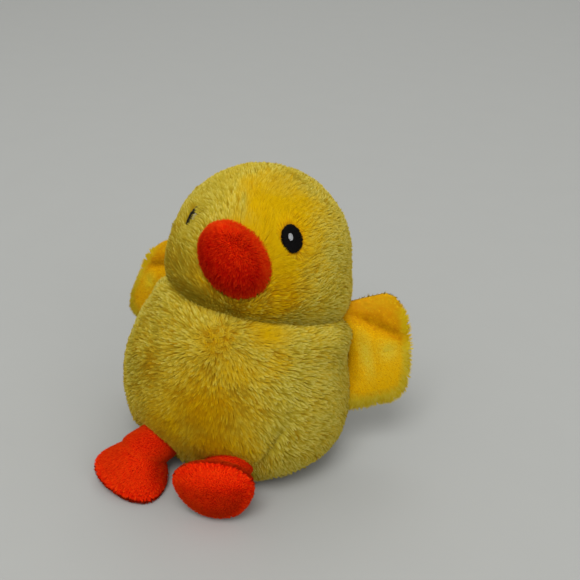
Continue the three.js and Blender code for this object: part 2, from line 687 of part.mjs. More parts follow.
// The cover is open at the top of the hip, where the filling meets the body's.
function legCover() {
  const outer = legOutline(0).slice(OPEN_STEPS);
  const inner = legOutline(LIMB_THICKNESS).slice(OPEN_STEPS);
  return latheSolid([...outer.reverse(), ...inner]);
}

function addLeg(group, side) {
  const leg = new THREE.Group();
  leg.position.copy(legs[side].hip);
  leg.quaternion.copy(legs[side].legTurn);
  addPiece(leg, `leg_cover_${side}`, legCover(), MATERIALS.orange);
  addPiece(leg, `leg_stuffing_${side}`, latheSolid(legOutline(LIMB_THICKNESS + GAP)), MATERIALS.fibre);
  group.add(leg);
}

// Feet, each in a group at the ankle whose -Y points to the toes and whose Z leaves the upper side

function footOutline(turn) {
  const half = FOOT_LENGTH / 2;
  const width = (FOOT_WIDTH / 2) * (1 + FOOT_FLARE * Math.cos(turn));
  return [width * Math.sin(turn), half - FOOT_HEEL + half * Math.cos(turn)];
}

function addFoot(group, side) {
  const foot = new THREE.Group();
  foot.position.copy(legs[side].ankle);
  foot.quaternion.copy(legs[side].footTurn);
  const centre = [0, FOOT_LENGTH / 2 - FOOT_HEEL];
  const upperSwell = () => UPPER_PUFF;
  const soleSwell = () => SOLE_PUFF;
  const lay = new THREE.Matrix4().makeRotationX(Math.PI / 2).setPosition(0, 0, -FOOT_DROP);
  const pieces = {
    upper: [padFace(footOutline, centre, 1, upperSwell), MATERIALS.orange],
    sole: [padFace(footOutline, centre, -1, soleSwell), MATERIALS.orange],
    stuffing: [padFilling(footOutline, centre, { 1: upperSwell, [-1]: soleSwell }), MATERIALS.fibre],
  };
  const ankle = ballGeometry(ANKLE_RADIUS + ANKLE_GAP, vector(0, 0, 0));
  for (const [part, [geometry, material]] of Object.entries(pieces)) {
    addPiece(foot, `foot_${part}_${side}`, cut(geometry.applyMatrix4(lay), ankle), material);
  }
  group.add(foot);
}

const chick = new THREE.Group();
addBody(chick);
addSqueaker(chick);
addHead(chick);
for (const side of Object.keys(SIDES)) {
  addWing(chick, side);
  addLeg(chick, side);
  addFoot(chick, side);
}

export default chick;
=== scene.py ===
"""Dresses the stuffed chick: plush panels with their pile, stitched eyes, padded wings, legs and feet."""

import math

import bmesh
import bpy
import numpy as np
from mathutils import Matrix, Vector
from mathutils.kdtree import KDTree


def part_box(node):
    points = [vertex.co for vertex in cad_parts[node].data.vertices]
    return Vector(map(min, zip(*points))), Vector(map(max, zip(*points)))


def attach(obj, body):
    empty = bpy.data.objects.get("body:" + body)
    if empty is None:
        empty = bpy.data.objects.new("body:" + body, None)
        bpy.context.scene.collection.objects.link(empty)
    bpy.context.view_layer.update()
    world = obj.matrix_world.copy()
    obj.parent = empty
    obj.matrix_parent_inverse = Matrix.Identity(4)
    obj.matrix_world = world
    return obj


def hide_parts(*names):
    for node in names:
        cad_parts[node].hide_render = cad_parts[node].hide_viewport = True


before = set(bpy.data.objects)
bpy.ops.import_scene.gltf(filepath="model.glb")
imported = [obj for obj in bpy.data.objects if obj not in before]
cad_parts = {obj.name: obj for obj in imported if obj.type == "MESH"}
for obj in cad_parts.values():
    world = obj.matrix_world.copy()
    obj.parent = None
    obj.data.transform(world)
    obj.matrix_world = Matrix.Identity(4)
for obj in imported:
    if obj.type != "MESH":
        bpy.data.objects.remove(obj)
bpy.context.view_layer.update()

# Millimetres in all sizes below; meshes are in metres.
MM = 0.001
UP = np.array([0.0, 0.0, 1.0])

# Body
SPINE_LENGTH = 63.0
LEAN = 17.8
LEAN_TURN = 12.2
SEAT_RADIUS = 26.0
SEAT_SLOPE = 0.3
BODY_RADIUS = 43.4
BODY_WIDEST = 23.0
BODY_DEPTH = 0.9
NECK_RADIUS = 31.0
TAPER_POWER = 2.0
CROTCH_DEPTH = 4.0
CROTCH_HEIGHT = 10.0
CROTCH_SPREAD = 32.0
BASE_SEAM = 8.0
BELLY_ANGLE = 66.0
BELLY_ANGLE_LOW = 37.0
BELLY_RISE = 50.0
BELLY_POWER = 1.6
BODY_TOP = 64.5
SEAM_DIP = 0.25
SEAM_WIDTH = 2.2
LOW_SEAM_DIP = 2.0  # more at the low end of the side seams
LOW_SEAM_HEIGHT = 18.0
LOW_SEAM_SPREAD = 10.0
BASE_SEAM_DIP = 0.8
BASE_SEAM_WIDTH = 2.0
NECK_DIP = 4.2
NECK_DIP_START = 56.5
NECK_DIP_END = 65.0
GIRTH = 40.0  # radius that turns angles into spans
WHORL_ANGLE = 6.0
WHORL_HEIGHT = 53.0
WHORL_RADIUS = 7.0

# Head and face
HEAD_RADIUS = 33.4
HEAD_CENTRE = np.array([2.91, 13.46, 74.65])
HEAD_ACROSS = np.array([0.98677, 0.12302, -0.10556])
HEAD_UP = np.array([0.06460, 0.29879, 0.95213])
HEAD_BACK = np.cross(HEAD_UP, HEAD_ACROSS)
HEAD_SEAM_DIP = 0.2
HEAD_SEAM_WIDTH = 1.8
JOWL = 1.8
LEFT_JOWL = 2.8  # more on the toy's left
JOWL_LATITUDE = -20.0
JOWL_SPREAD = 16.0
BEAK_WIDTH = 27.8
BEAK_HEIGHT = 21.0
BEAK_DEPTH = 12.5
BEAK_SUNK = 3.6
BEAK_LATITUDE = 5.5
BEAK_TILT = 34.0
BEAK_SKIN = 1.2  # backing below the outside of its pile
BEAK_LIP = 0.12  # radians of its dome below the rim
BEAK_CLEAR = 14.0  # degrees about the beak without long pile
# Painted highlight: the beak paler where its surface faces up towards the light
BEAK_PAINTED_HIGHLIGHT = [(-0.3, 0.6, 0.6, 0.45, 0.85)]  # patch: place and spread of its normal, and strength
EYE_SIZE = (7.2, 9.4, 0.9)  # width, height and rise
EYE_PLACE = {"left": (33.3, 24.4, 16.0), "right": (-41.0, 20.3, 0.0)}  # longitude, latitude and tilt
EYE_SUNK = 2.3
GLINT_SIZE = (1.6, 2.3, 0.3)
GLINT_PLACE = {"left": (-0.7, 0.5, 0.95), "right": (1.2, 0.5, 0.95)}  # across, up and out from the eye
STITCH_PITCH = 0.36
THREAD_POINTS = 11  # along a stitch
THREAD_SIDES = 6

# Limbs
WING_REACH = 23.5
WING_TALL = 44.0
WING_ROOT_DEPTH = 1.2
WING_TUCK = 6.0
WING_POWERS = (0.35, 0.72, 0.55)  # at the root, the upper edge and the lower edge
# Painted highlights: two paler places on a wing's front where the nap catches the light
WING_PAINTED_HIGHLIGHTS = [(5, 1, 2.2, 8, 0.85), (13, 1, 4, 4, 0.85)]  # patches: x, y, spread in each and strength
WING_SWELL = 3.2
WING_BACK_SWELL = 2.6
FOLD_START = 0.41 * WING_TALL  # the crease's height at the root
FOLD_FALL = 0.8
FOLD_WIDTH = 2.2
FOLD_DEPTH = 2.2
WING_SHEAR = {"wing_left": 0.12, "wing_right": -0.1}
WING_PLACE = {
    "left": ((38.54, 18.04, 39.76), (0.80472, 0.56440, 0.18406), (-0.27936, 0.08644, 0.95629)),
    "right": ((-36.60, 18.41, 43.20), (-0.90685, 0.29046, 0.30536), (0.34444, 0.09329, 0.93416)),
}
LEG_LENGTH = 8.0
LEG_RADIUS = 7.2
LEG_FLARE = 0.1
LEG_END = 4.0  # past the hip and the ankle
LEG_ROUNDING = 4.2
HIP_DEPTH = 12.0  # how far back a leg keeps the body's pile off
LEG_PLACE = {
    "left": ((13.6, -29.4, 13.1), (-0.19620, -0.78690, -0.58506)),
    "right": ((-17.0, -29.0, 11.6), (-0.41112, -0.84292, -0.34708)),
}
FOOT_LENGTH = 22.0
FOOT_WIDTH = 29.0
FOOT_HEEL = 5.0
FOOT_FLARE = 0.18
FOOT_DROP = 6.0
HEEL_POWER = 0.8
FOOT_SWELL = 3.6
SOLE_SWELL = 4.6
INSTEP_RISE = 9.4
INSTEP_WIDTH = 17.0
INSTEP_LENGTH = 12.0
PAD_INSET = 1.0  # of a wing's or foot's backing inside its outline
FOOT_PLACE = {
    "left": ((13.50, -35.67, 7.40), (0.95873, 0.25689, 0.12187), (-0.25882, 0.96593, 0.0)),
    "right": ((-19.02, -34.60, 9.60), (0.97268, -0.17151, -0.15643), (0.15406, -0.02716, 0.98769)),
}
SIGN = {"left": 1, "right": -1}

# Pile
SKIN_DEPTH = 2.3  # backing below the outside of the long pile
SHADES = 64  # colour steps across a pile's map
MOST_TUFTS = 64000  # in one piece
DENSITY = {"base": 5.0, "body": 13.0, "head": 14.0, "beak": 16.0, "leg": 15.0}  # tufts per mm2
ROOT = 0.01  # a root's place along the map
TIP = 0.99  # the furthest place of a tip along it
LONG_LENGTH = (2.8, 3.5)
LONG_WIDTH = (0.34, 0.48)
LONG_LEAN = 58
LONG_SUNK = 0.2  # roots below the backing's outside
PRESSED_LEAN = 1.35  # in radians
MIDDLE_LENGTH = (1.1, 1.6)
MIDDLE_WIDTH = (0.3, 0.42)
SHORT_LENGTH = (0.9, 1.3)
SHORT_WIDTH = (0.28, 0.38)
SHORT_SUNK = 0.1
LOCK = 8  # tufts in a lock
PAD_LOCK = 7
PILE_FLOOR = 0.1  # no tuft goes below it
PAD_FLOOR = 0.6  # no pad's backing goes below it

# Swelling of sewn cloth
CLOTH_SCALE = 20  # as large as the solver's usual stiffness suits
CLOTH_STEPS = 20
CLOTH_PRESSURE = 4.0
SWELL = {"body": 0.9, "head": 0.6, "beak": 0.3, "pad": 0.5, "leg": 0.3}  # furthest move of the cloth

# Sewn pieces
POINTS = {"beak": (73, 26), "pad": (81, 22), "leg": (49, 24), "neck": (33, 17)}  # round and along a grid
MIDDLE_SIZE = 0.02  # share of a flat panel's size where its grid starts
SIZE_POWER = 0.8  # crowds a pad's rings towards its rim
POLE_GAP = 0.01  # in radians
WALL = 0.8  # thickness of the backing
THIN_WALL = 0.5
BACKING = {"body": 0.6, "head": 0.6, "beak": 0.8, "pad": 0.7, "leg": 0.6}  # how deep its colour is
FILL = {"body": 0.8, "neck": 0.8, "head": 0.85, "beak": 0.9, "wing": 0.5, "leg": 0.7, "foot": 0.7}
SEED = {"body": 100, "head": 200, "beak": 300, "eye": 400, "wing_front": 500, "wing_back": 510,
        "foot_upper": 600, "foot_sole": 610, "leg": 700}

# Stage, in metres and degrees
FLOOR_COLOUR = (0.375, 0.38, 0.365, 1)
FLOOR_HALF = 4.0
SKY_COLOUR = (1.0, 1.0, 0.99, 1)
SKY_STRENGTH = 0.63
AIM = Vector((0, 0, 0.058))
LAMPS = {  # place, size and power
    "key": ((0.2, -0.85, 1.4), 0.8, 15.5),
    "fill": ((1.3, -0.7, 0.9), 0.9, 3.5),
    "back": ((-0.4, 1.2, 1.4), 1.0, 4.5),
}
CAMERA_AZIMUTH = 28.4
CAMERA_ELEVATION = 30
CAMERA_DISTANCE = 0.301
CAMERA_ANGLE = 38
CAMERA_SENSOR = 36  # in millimetres
CAMERA_NEAR = 0.01
CAMERA_SHIFT = (55 / 580, 19 / 580)  # shares of the picture's width


def unit(vectors):
    """Each vector over its own length."""
    return vectors / np.maximum(np.linalg.norm(vectors, axis=-1, keepdims=True), 1e-12)


def bell(distance, width):
    """A hump of height 1: e to the minus square of distance over width."""
    return np.exp(-((distance / width) ** 2))


def turned(vector, axis, angle):
    """A vector turned about an axis by an array of angles, by Rodrigues' formula."""
    cosine, sine = np.cos(angle)[..., None], np.sin(angle)[..., None]
    return vector * cosine + np.cross(axis, vector) * sine + axis * (axis @ vector) * (1 - cosine)


def smooth(value, low, high):
    """0 at low and before it, 1 at high and past it, and a smooth step between them."""
    t = np.clip((value - low) / (high - low), 0, 1)
    return t * t * (3 - 2 * t)


def humps(x, y, patches):
    """The highest of several oval humps: each is strength times a bell in x times a bell in y."""
    height = np.zeros(np.shape(x))
    for middle_x, middle_y, wide, tall, strength in patches:
        height = np.maximum(height, strength * bell(x - middle_x, wide) * bell(y - middle_y, tall))
    return height


def same(value):
    """A pattern with one value all over."""
    return lambda x, y: np.full(np.shape(x), value)


def in_frame(place, axes, x, y, z):
    """Points at distances x, y and z from a place along three axes."""
    return place + x[..., None] * axes[0] + y[..., None] * axes[1] + z[..., None] * axes[2]


def turn_grid(piece, low, high, turn=(0, 2 * np.pi)):
    """A round piece's two parameters over its grid: a full turn, and a run from low to high."""
    around, along = POINTS[piece]
    return np.meshgrid(np.linspace(*turn, around), np.linspace(low, high, along))


# Forms


def body_radius(height, inset):
    """A quarter ellipse from the seat up to the widest ring, then a power curve in to the neck."""
    widest = BODY_RADIUS - inset
    above = np.clip((height - BODY_WIDEST) / (SPINE_LENGTH - BODY_WIDEST), 0, None)
    seat = SEAT_RADIUS - SEAT_SLOPE * inset
    below = np.clip((height - inset) / (BODY_WIDEST - inset), 0, 1)
    taper = widest - (BODY_RADIUS - NECK_RADIUS) * above**TAPER_POWER
    return np.where(height > BODY_WIDEST, taper, seat + (widest - seat) * np.sqrt(1 - (1 - below) ** 2))


def belly_angle(height):
    """Side seams' angle from the front: a power curve of the height from the base seam to the chest."""
    climb = np.clip((height - BASE_SEAM) / (BELLY_RISE - BASE_SEAM), 0, 1)
    return BELLY_ANGLE_LOW + (BELLY_ANGLE - BELLY_ANGLE_LOW) * climb**BELLY_POWER


def body_surface(angle, height, radius):
    """Rings across a circular arc that slumps back; each ring is an ellipse pinched in at the crotch."""
    lean, turn = np.radians(LEAN), np.radians(LEAN_TURN)
    bend = SPINE_LENGTH / lean
    tip = lean * np.minimum(height / SPINE_LENGTH, 1)
    away = np.array([np.sin(turn), np.cos(turn), 0])
    along = away * np.sin(tip)[..., None] + UP * np.cos(tip)[..., None]
    centre = away * (bend * (1 - np.cos(tip)))[..., None] + UP * (bend * np.sin(tip))[..., None]
    centre = centre + along * np.maximum(0, height - SPINE_LENGTH)[..., None]
    axis = np.cross(UP, away)
    across = turned(np.array([1.0, 0, 0]), axis, tip)
    back = turned(np.array([0, 1.0, 0]), axis, tip)
    flat = np.abs((angle + 180) % 360 - 180)
    pinch = CROTCH_DEPTH * bell(flat, CROTCH_SPREAD) * bell(height - CROTCH_HEIGHT, CROTCH_HEIGHT)
    reach = np.maximum(radius - pinch, 0)
    side = (reach * np.sin(np.radians(angle)))[..., None]
    front = (reach * BODY_DEPTH * np.cos(np.radians(angle)))[..., None]
    return centre + across * side - back * front


def head_surface(longitude, latitude, radius):
    """A ball's point at a longitude from the beak, to the toy's left, and a latitude towards the crown."""
    lon, lat = np.radians(longitude), np.radians(latitude)
    level = np.cos(lat) * radius
    local = (np.sin(lon) * level)[..., None] * HEAD_ACROSS - (np.cos(lon) * level)[..., None] * HEAD_BACK
    return HEAD_CENTRE + local + (np.sin(lat) * radius)[..., None] * HEAD_UP


def head_frame(longitude, latitude, radius, tilt):
    """Place, sideways, upward and outward axes of a patch on the head, turned by tilt about outward."""
    place = head_surface(np.array(longitude), np.array(latitude), np.array(radius))
    out = unit(place - HEAD_CENTRE)
    across = unit(np.cross(HEAD_UP, out))
    up = np.cross(out, across)
    t = np.radians(tilt)
    return place, across * np.cos(t) + up * np.sin(t), up * np.cos(t) - across * np.sin(t), out


def pad_outline(body, turn):
    """Edge of a pad: for a wing a slanted superellipse, squarer at the root, which follows the body in by
    the square of the height; for a foot a circle that is wider at the toes and squarer at the heel."""
    if body in WING_SHEAR:
        half = WING_REACH / 2
        x, y = np.cos(turn), np.sin(turn)
        root, upper, lower = WING_POWERS
        power = np.where(x < 0, root, np.where(y > 0, upper, lower))
        along = np.sign(y) * np.abs(y) ** power
        reach = np.where(x < 0, half + WING_TUCK * along**2, half - 2 * PAD_INSET)
        tall = WING_TALL / 2 * along + PAD_INSET * (0.65 - 2.05 * along)
        out = half - WING_ROOT_DEPTH + reach * np.sign(x) * np.abs(x) ** power
        return out + WING_SHEAR[body] * tall, tall
    half = FOOT_LENGTH / 2
    x, y = np.sin(turn), np.cos(turn)
    width = (FOOT_WIDTH / 2 - PAD_INSET) * (1 + FOOT_FLARE * y)
    length = np.where(y < 0, half + 1.5 * PAD_INSET, half - PAD_INSET)
    return width * np.sign(x) * np.abs(x) ** np.where(y < 0, HEEL_POWER, 1), half - FOOT_HEEL + length * y


def pad_middle(body):
    """Centre of a pad's outline in its own plane."""
    if body in WING_SHEAR:
        return WING_REACH / 2 - WING_ROOT_DEPTH, 0.0
    return 0.0, FOOT_LENGTH / 2 - FOOT_HEEL


def pad_surface(body, size, turn, looks):
    """A pad's face: the outline shrunk to size, raised by its swell times (1 - size squared) to a power."""
    edge = pad_outline(body, turn)
    middle = pad_middle(body)
    x = middle[0] + size * (edge[0] - middle[0])
    y = middle[1] + size * (edge[1] - middle[1])
    return x, y, looks["raised"] + looks["swell"](x, y) * np.maximum(1 - size**2, 0) ** looks["power"]


# Meshes


def new_object(name, data):
    """A new object in the scene."""
    made = bpy.data.objects.new(name, data)
    bpy.context.scene.collection.objects.link(made)
    return made


def make_mesh(name, points, faces, material):
    """A new object at the origin from points in millimetres and one array of faces for each face size."""
    mesh = bpy.data.meshes.new(name)
    mesh.vertices.add(len(points))
    mesh.vertices.foreach_set("co", (np.asarray(points, np.float32) * MM).ravel())
    sizes = np.concatenate([np.full(len(group), group.shape[1]) for group in faces])
    corners = np.concatenate([group.ravel() for group in faces]).astype(np.int32)
    mesh.loops.add(len(corners))
    mesh.loops.foreach_set("vertex_index", corners)
    mesh.polygons.add(len(sizes))
    starts = np.concatenate([[0], np.cumsum(sizes)[:-1]]).astype(np.int32)
    mesh.polygons.foreach_set("loop_start", starts)
    mesh.polygons.foreach_set("use_smooth", np.ones(len(sizes), bool))
    mesh.update(calc_edges=True)
    mesh.materials.append(material)
    return new_object(name, mesh)


def set_map(made, across, along):
    """Writes a pair of numbers for each corner, in one map for the finish to read and one like it."""
    pairs = np.stack([across, along], 1).astype(np.float32).ravel()
    for name in ("Pile", "OFBake"):
        made.data.uv_layers.new(name=name).data.foreach_set("uv", pairs)


def grid_faces(rows, columns, closed=False):
    """Quads of a grid of points, row by row, joined to its first column where it is closed."""
    last = columns if closed else columns - 1
    row, column = np.meshgrid(np.arange(rows - 1), np.arange(last), indexing="ij")
    right = (column + 1) % columns
    here, above = row * columns, (row + 1) * columns
    return np.stack([here + column, here + right, above + right, above + column], -1).reshape(-1, 4)


def puff(grid, pinned, reach):
    """Swells sewn cloth by simulation: pinned points stay, and no other moves further than reach."""
    size = CLOTH_SCALE * MM
    points = grid.reshape(-1, 3)
    mesh = bpy.data.meshes.new("swelling")
    mesh.from_pydata((points * size).tolist(), [], grid_faces(*grid.shape[:2]).tolist())
    bag = new_object("swelling", mesh)
    group = bag.vertex_groups.new(name="seams")
    group.add(np.flatnonzero(pinned).tolist(), 1.0, "REPLACE")
    cloth = bag.modifiers.new("cloth", "CLOTH")
    cloth.settings.vertex_group_mass = "seams"
    cloth.settings.use_pressure = True
    cloth.settings.uniform_pressure_force = CLOTH_PRESSURE
    cloth.settings.effector_weights.gravity = 0
    cloth.point_cache.frame_start, cloth.point_cache.frame_end = 1, CLOTH_STEPS
    scene = bpy.context.scene
    for step in range(1, CLOTH_STEPS + 1):
        scene.frame_set(step)
    shown = bag.evaluated_get(bpy.context.evaluated_depsgraph_get())
    moved = np.empty(len(points) * 3, np.float32)
    shown.data.vertices.foreach_get("co", moved)
    scene.frame_set(1)
    bpy.data.objects.remove(bag)
    bpy.data.meshes.remove(mesh)
    shift = moved.reshape(-1, 3) / size - points
    length = np.linalg.norm(shift, axis=1, keepdims=True)
    return (points + shift * np.minimum(1, reach / np.maximum(length, 1e-9))).reshape(grid.shape)


def sew(grid, held, reach, pole):
    """Swells a closed grid with some rows held, and joins its two edges and the points of its pole."""
    pinned = np.zeros(grid.shape[:2], bool)
    pinned[held] = True
    grid = puff(grid, pinned, reach)
    grid[:, -1] = grid[:, 0]
    grid[pole] = grid[pole].mean(0)
    return grid


def make_skin(name, grid, material, shade=0.5, thickness=WALL):
    """The backing cloth of a panel: a grid of points, closed where its points meet, with a wall behind it."""
    rows, columns = grid.shape[:2]
    faces = grid_faces(rows, columns)
    made = make_mesh(name, grid.reshape(-1, 3), [faces], material)
    row, column = np.divmod(faces.ravel(), columns)
    across = (np.floor(shade * SHADES) + 0.2 + 0.6 * column / columns) / SHADES
    set_map(made, across, ROOT + 0.08 * row / rows)
    work = bmesh.new()
    work.from_mesh(made.data)
    bmesh.ops.remove_doubles(work, verts=work.verts, dist=1e-7)
    work.to_mesh(made.data)
    work.free()
    wall = made.modifiers.new("wall", "SOLIDIFY")
    wall.thickness = thickness * MM
    wall.offset = -1
    return made


# Pile


def grid_normals(grid):
    """Outward normals of a grid of points: the cross product of its two central differences."""
    return unit(np.cross(np.gradient(grid, axis=1), np.gradient(grid, axis=0)))


def on_grid(values, row, column):
    """Values of a grid between its points, bilinear in row and column."""
    low_row = np.clip(row.astype(int), 0, values.shape[0] - 2)
    low_column = np.clip(column.astype(int), 0, values.shape[1] - 2)
    v = (row - low_row).reshape((-1,) + (1,) * (values.ndim - 2))
    u = (column - low_column).reshape((-1,) + (1,) * (values.ndim - 2))
    low = values[low_row, low_column] * (1 - u) + values[low_row, low_column + 1] * u
    high = values[low_row + 1, low_column] * (1 - u) + values[low_row + 1, low_column + 1] * u
    return low * (1 - v) + high * v


class Strewn:
    """Random places over part of a grid of points: each cell gets its area times density of them."""

    def __init__(self, grid, density, seed, rows=(0, None), columns=(0, None)):
        patch = grid[slice(*rows), slice(*columns)]
        spread = np.cross(patch[1:, 1:] - patch[:-1, :-1], patch[1:, :-1] - patch[:-1, 1:])
        area = np.linalg.norm(spread, axis=-1) / 2
        density = min(density, MOST_TUFTS / area.sum())
        self.grid, self.rng, self.waves = grid, np.random.default_rng(seed), np.random.default_rng(7)
        total = np.concatenate([[0], np.cumsum((area * density).ravel())]) + self.rng.random()
        cell = np.repeat(np.arange(area.size), np.diff(np.floor(total)).astype(int))
        row, column = np.divmod(cell, area.shape[1])
        self.row = rows[0] + row + self.rng.random(len(cell))
        self.column = columns[0] + column + self.rng.random(len(cell))

    def only(self, chosen):
        """Keeps the chosen places."""
        self.row, self.column = self.row[chosen], self.column[chosen]

    def at(self, values):
        """A grid's values at the places."""
        return on_grid(values, self.row, self.column)

    def cloth(self):
        """Point, normal, direction round the piece and direction up it at each place."""
        normal = unit(self.at(grid_normals(self.grid)))
        around = unit(self.at(np.gradient(self.grid, axis=1)))
        return self.at(self.grid), normal, around, unit(np.cross(normal, around))

    def drift(self, step):
        """Smooth noise from -1 to 1: random numbers about step apart, bilinear between them.

        It runs on from part to part of the same grid.
        """
        tall = np.linalg.norm(np.diff(self.grid, axis=0), axis=-1).sum(0).max()
        wide = np.linalg.norm(np.diff(self.grid, axis=1), axis=-1).sum(1).max()
        knots = self.waves.uniform(-1, 1, (max(2, int(tall / step) + 2), max(2, int(wide / step) + 2)))
        return on_grid(
            knots,
            self.row / (self.grid.shape[0] - 1) * (knots.shape[0] - 1),
            self.column / (self.grid.shape[1] - 1) * (knots.shape[1] - 1),
        )

    def jitter(self, spread):
        """A random number for each place, in a bell curve of the given spread."""
        return self.rng.normal(0, spread, len(self.row))


def draw_locks(roots, tips, every, hold):
    """Draws tufts into locks: each tip moves by its share of hold to the tip of the nearest leading tuft."""
    lead = np.arange(0, len(roots), every)
    tree = KDTree(len(lead))
    for k, index in enumerate(lead):
        tree.insert(roots[index], k)
    tree.balance()
    nearest = lead[[tree.find(root)[1] for root in roots]]
    return tips + hold[:, None] * (tips[nearest] - tips), nearest


def flat(way, normal):
    """Directions laid flat against the cloth: their part across its normal."""
    return unit(way - normal * (way * normal).sum(1)[:, None])


def leaned(normal, comb, lean):
    """Directions along the normal of the cloth, leaned by an angle towards the nap."""
    return normal * np.cos(lean)[:, None] + comb * np.sin(lean)[:, None]


def make_pile(name, roots, tips, normals, width, shade, material, rng, soft=0.8, bloom=TIP):
    """Tapered tufts: three-sided spikes from roots to tips, each root's corners on a circle of its width.

    A tuft's shading normal is soft parts of the given one and the rest its own, as light spreads in fibres.
    Its colour runs from the root's to the share bloom of the way to the tip's.
    """
    count = len(roots)
    stem = unit(tips - roots)
    side = unit(np.cross(stem, normals) + 1e-6)
    over = np.cross(side, stem)
    turn = rng.uniform(0, 2 * np.pi, count)[:, None] + np.array([0, 2, 4]) * np.pi / 3
    around = np.cos(turn)[..., None] * side[:, None] + np.sin(turn)[..., None] * over[:, None]
    points = np.empty((count, 4, 3))
    points[:, :3] = roots[:, None] + around * (width / 2)[:, None, None]
    points[:, 3] = tips
    points[..., 2] = np.maximum(points[..., 2], PILE_FLOOR)
    first = np.arange(count)[:, None] * 4
    faces = np.concatenate([first + [1, 0, 3], first + [2, 1, 3], first + [0, 2, 3]])
    made = make_mesh(name, points.reshape(-1, 3), [faces], material)
    own = np.concatenate([around, stem[:, None]], 1)
    shading = unit(soft * normals[:, None] + (1 - soft) * own)
    layer = made.data.attributes.new("custom_normal", "FLOAT_VECTOR", "POINT")
    layer.data.foreach_set("vector", shading.astype(np.float32).ravel())
    cell = np.floor(np.clip(shade, 0, 0.999) * SHADES)[:, None]
    low, high = (cell + 0.1) / SHADES, (cell + 0.9) / SHADES
    across = np.tile(np.concatenate([low, high, (low + high) / 2], 1).ravel(), 3)
    along = np.full((count, 3), ROOT)
    along[:, 2] = bloom
    set_map(made, across, np.tile(along.ravel(), 3))
    return made


def add_long_pile(name, places, way, gold, sleek, dull, cut, press, tint):
    """Long yellow pile in fine locks, brushed smooth where it is sleek; gold is how deep its yellow looks,
    as deep gold where its nap is seen end-on and pale, partly painted sheen, where it is seen from the side.

    A tuft leaves the cloth along its normal, leaned by about LONG_LEAN towards way, its direction round and
    up the panel, turned at random. cut scales its length, press lays it flat, dull darkens its tip, as
    painted shade or where the pile stands open, and tint is added to its shade.
    """
    rng = places.rng
    point, normal, around, upward = places.cloth()
    loose = 1 - 0.8 * sleek
    swing = loose * (0.3 * places.drift(2.4) + 0.35 * places.drift(5.0) + places.jitter(0.1))
    swing = swing + 0.5 * places.drift(11.0)
    way = np.stack([way[:, 0] * np.cos(swing) - way[:, 1] * np.sin(swing),
                    way[:, 0] * np.sin(swing) + way[:, 1] * np.cos(swing)], 1)
    comb = unit(around * way[:, :1] + upward * way[:, 1:])
    lean = np.radians(LONG_LEAN + 8 * places.drift(4.0) * loose) + places.jitter(0.06)
    lean = lean + press * (PRESSED_LEAN - lean)
    length = rng.uniform(*LONG_LENGTH, len(point)) * (1 + 0.1 * loose * places.drift(1.6)) * cut
    roots = point - LONG_SUNK * normal
    tips = roots + length[:, None] * leaned(normal, comb, lean)
    tips, lead = draw_locks(roots, tips, LOCK, 0.66 - 0.55 * sleek)
    lock = places.jitter(0.15)[lead] * loose
    shade = 0.2 + 0.8 * gold + lock + loose * 0.16 * places.drift(7.0) + places.jitter(0.03) + tint
    width = rng.uniform(*LONG_WIDTH, len(point))
    bloom = 0.88 + places.jitter(0.28)[lead] * loose + 0.15 * loose * places.drift(6.0) - 0.6 * dull
    return make_pile(name, roots, tips, normal, width, shade, YELLOW, rng, 0.85, np.clip(bloom, 0.15, TIP))


# Finishes


def set_values(node, **values):
    """Writes a node's socket values, named with underscores for spaces, and its settings."""
    for key, value in values.items():
        socket = node.inputs.get(key.replace("_", " "))
        if socket is None:
            setattr(node, key, value)
        else:
            socket.default_value = value
    return node


def add_node(tree, kind, **values):
    """A new shader node."""
    return set_values(tree.nodes.new(kind), **values)


def link(source, output, target, socket):
    """Joins one node's output to another's input."""
    source.id_data.links.new(source.outputs[output], target.inputs[socket])


def new_finish(name):
    """A new material with its node tree and main shader."""
    material = bpy.data.materials.new(name)
    material.use_nodes = True
    return material, material.node_tree, material.node_tree.nodes["Principled BSDF"]


def srgb(red, green, blue):
    """A colour from its values of 0 to 255 as they look on a screen."""
    value = np.array([red, green, blue]) / 255
    linear = np.where(value <= 0.04045, value / 12.92, ((value + 0.055) / 1.055) ** 2.4)
    return (*linear, 1.0)


def add_ramp(tree, stops):
    """A colour ramp from its positions and colours."""
    ramp = add_node(tree, "ShaderNodeValToRGB")
    elements = ramp.color_ramp.elements
    while len(elements) < len(stops):
        elements.new(0.5)
    for element, (position, colour) in zip(elements, stops):
        element.position = position
        element.color = colour
    return ramp


# Sockets of the mixing node for colours
MIX_FROM = 6
MIX_TO = 7
MIX_RESULT = 2


def pile_finish(name, pale_ramp, deep, roughness=0.85, specular=0.04, sheen=0.03):
    """Pile coloured from root to tip: two ramps along the tuft, mixed by how deep its shade is; the pale mix
    is partly painted sheen and painted highlight.
    """
    material, tree, shader = new_finish(name)
    place = add_node(tree, "ShaderNodeUVMap", uv_map="Pile")
    parts = add_node(tree, "ShaderNodeSeparateXYZ")
    mix = add_node(tree, "ShaderNodeMix", data_type="RGBA")
    link(place, "UV", parts, "Vector")
    link(parts, "X", mix, "Factor")
    for socket, stops in ((MIX_FROM, pale_ramp), (MIX_TO, deep)):
        ramp = add_ramp(tree, stops)
        link(parts, "Y", ramp, "Fac")
        link(ramp, "Color", mix, socket)
    link(mix, MIX_RESULT, shader, "Base Color")
    set_values(shader, Roughness=roughness, Specular_IOR_Level=specular, Sheen_Weight=sheen,
               Sheen_Roughness=0.5, Sheen_Tint=pale_ramp[-1][1])
    return material


def grainy_finish(name, colour, dark, scale, roughness, specular):
    """A plain colour broken by fine noise in Object space down to dark times itself."""
    material, tree, shader = new_finish(name)
    place = add_node(tree, "ShaderNodeTexCoord")
    noise = add_node(tree, "ShaderNodeTexNoise", Scale=scale, Detail=3.0)
    ramp = add_ramp(tree, [(0.3, tuple(dark * c for c in colour[:3]) + (1,)), (0.7, colour)])
    link(place, "Object", noise, "Vector")
    link(noise, "Fac", ramp, "Fac")
    link(ramp, "Color", shader, "Base Color")
    set_values(shader, Roughness=roughness, Specular_IOR_Level=specular)
    return material


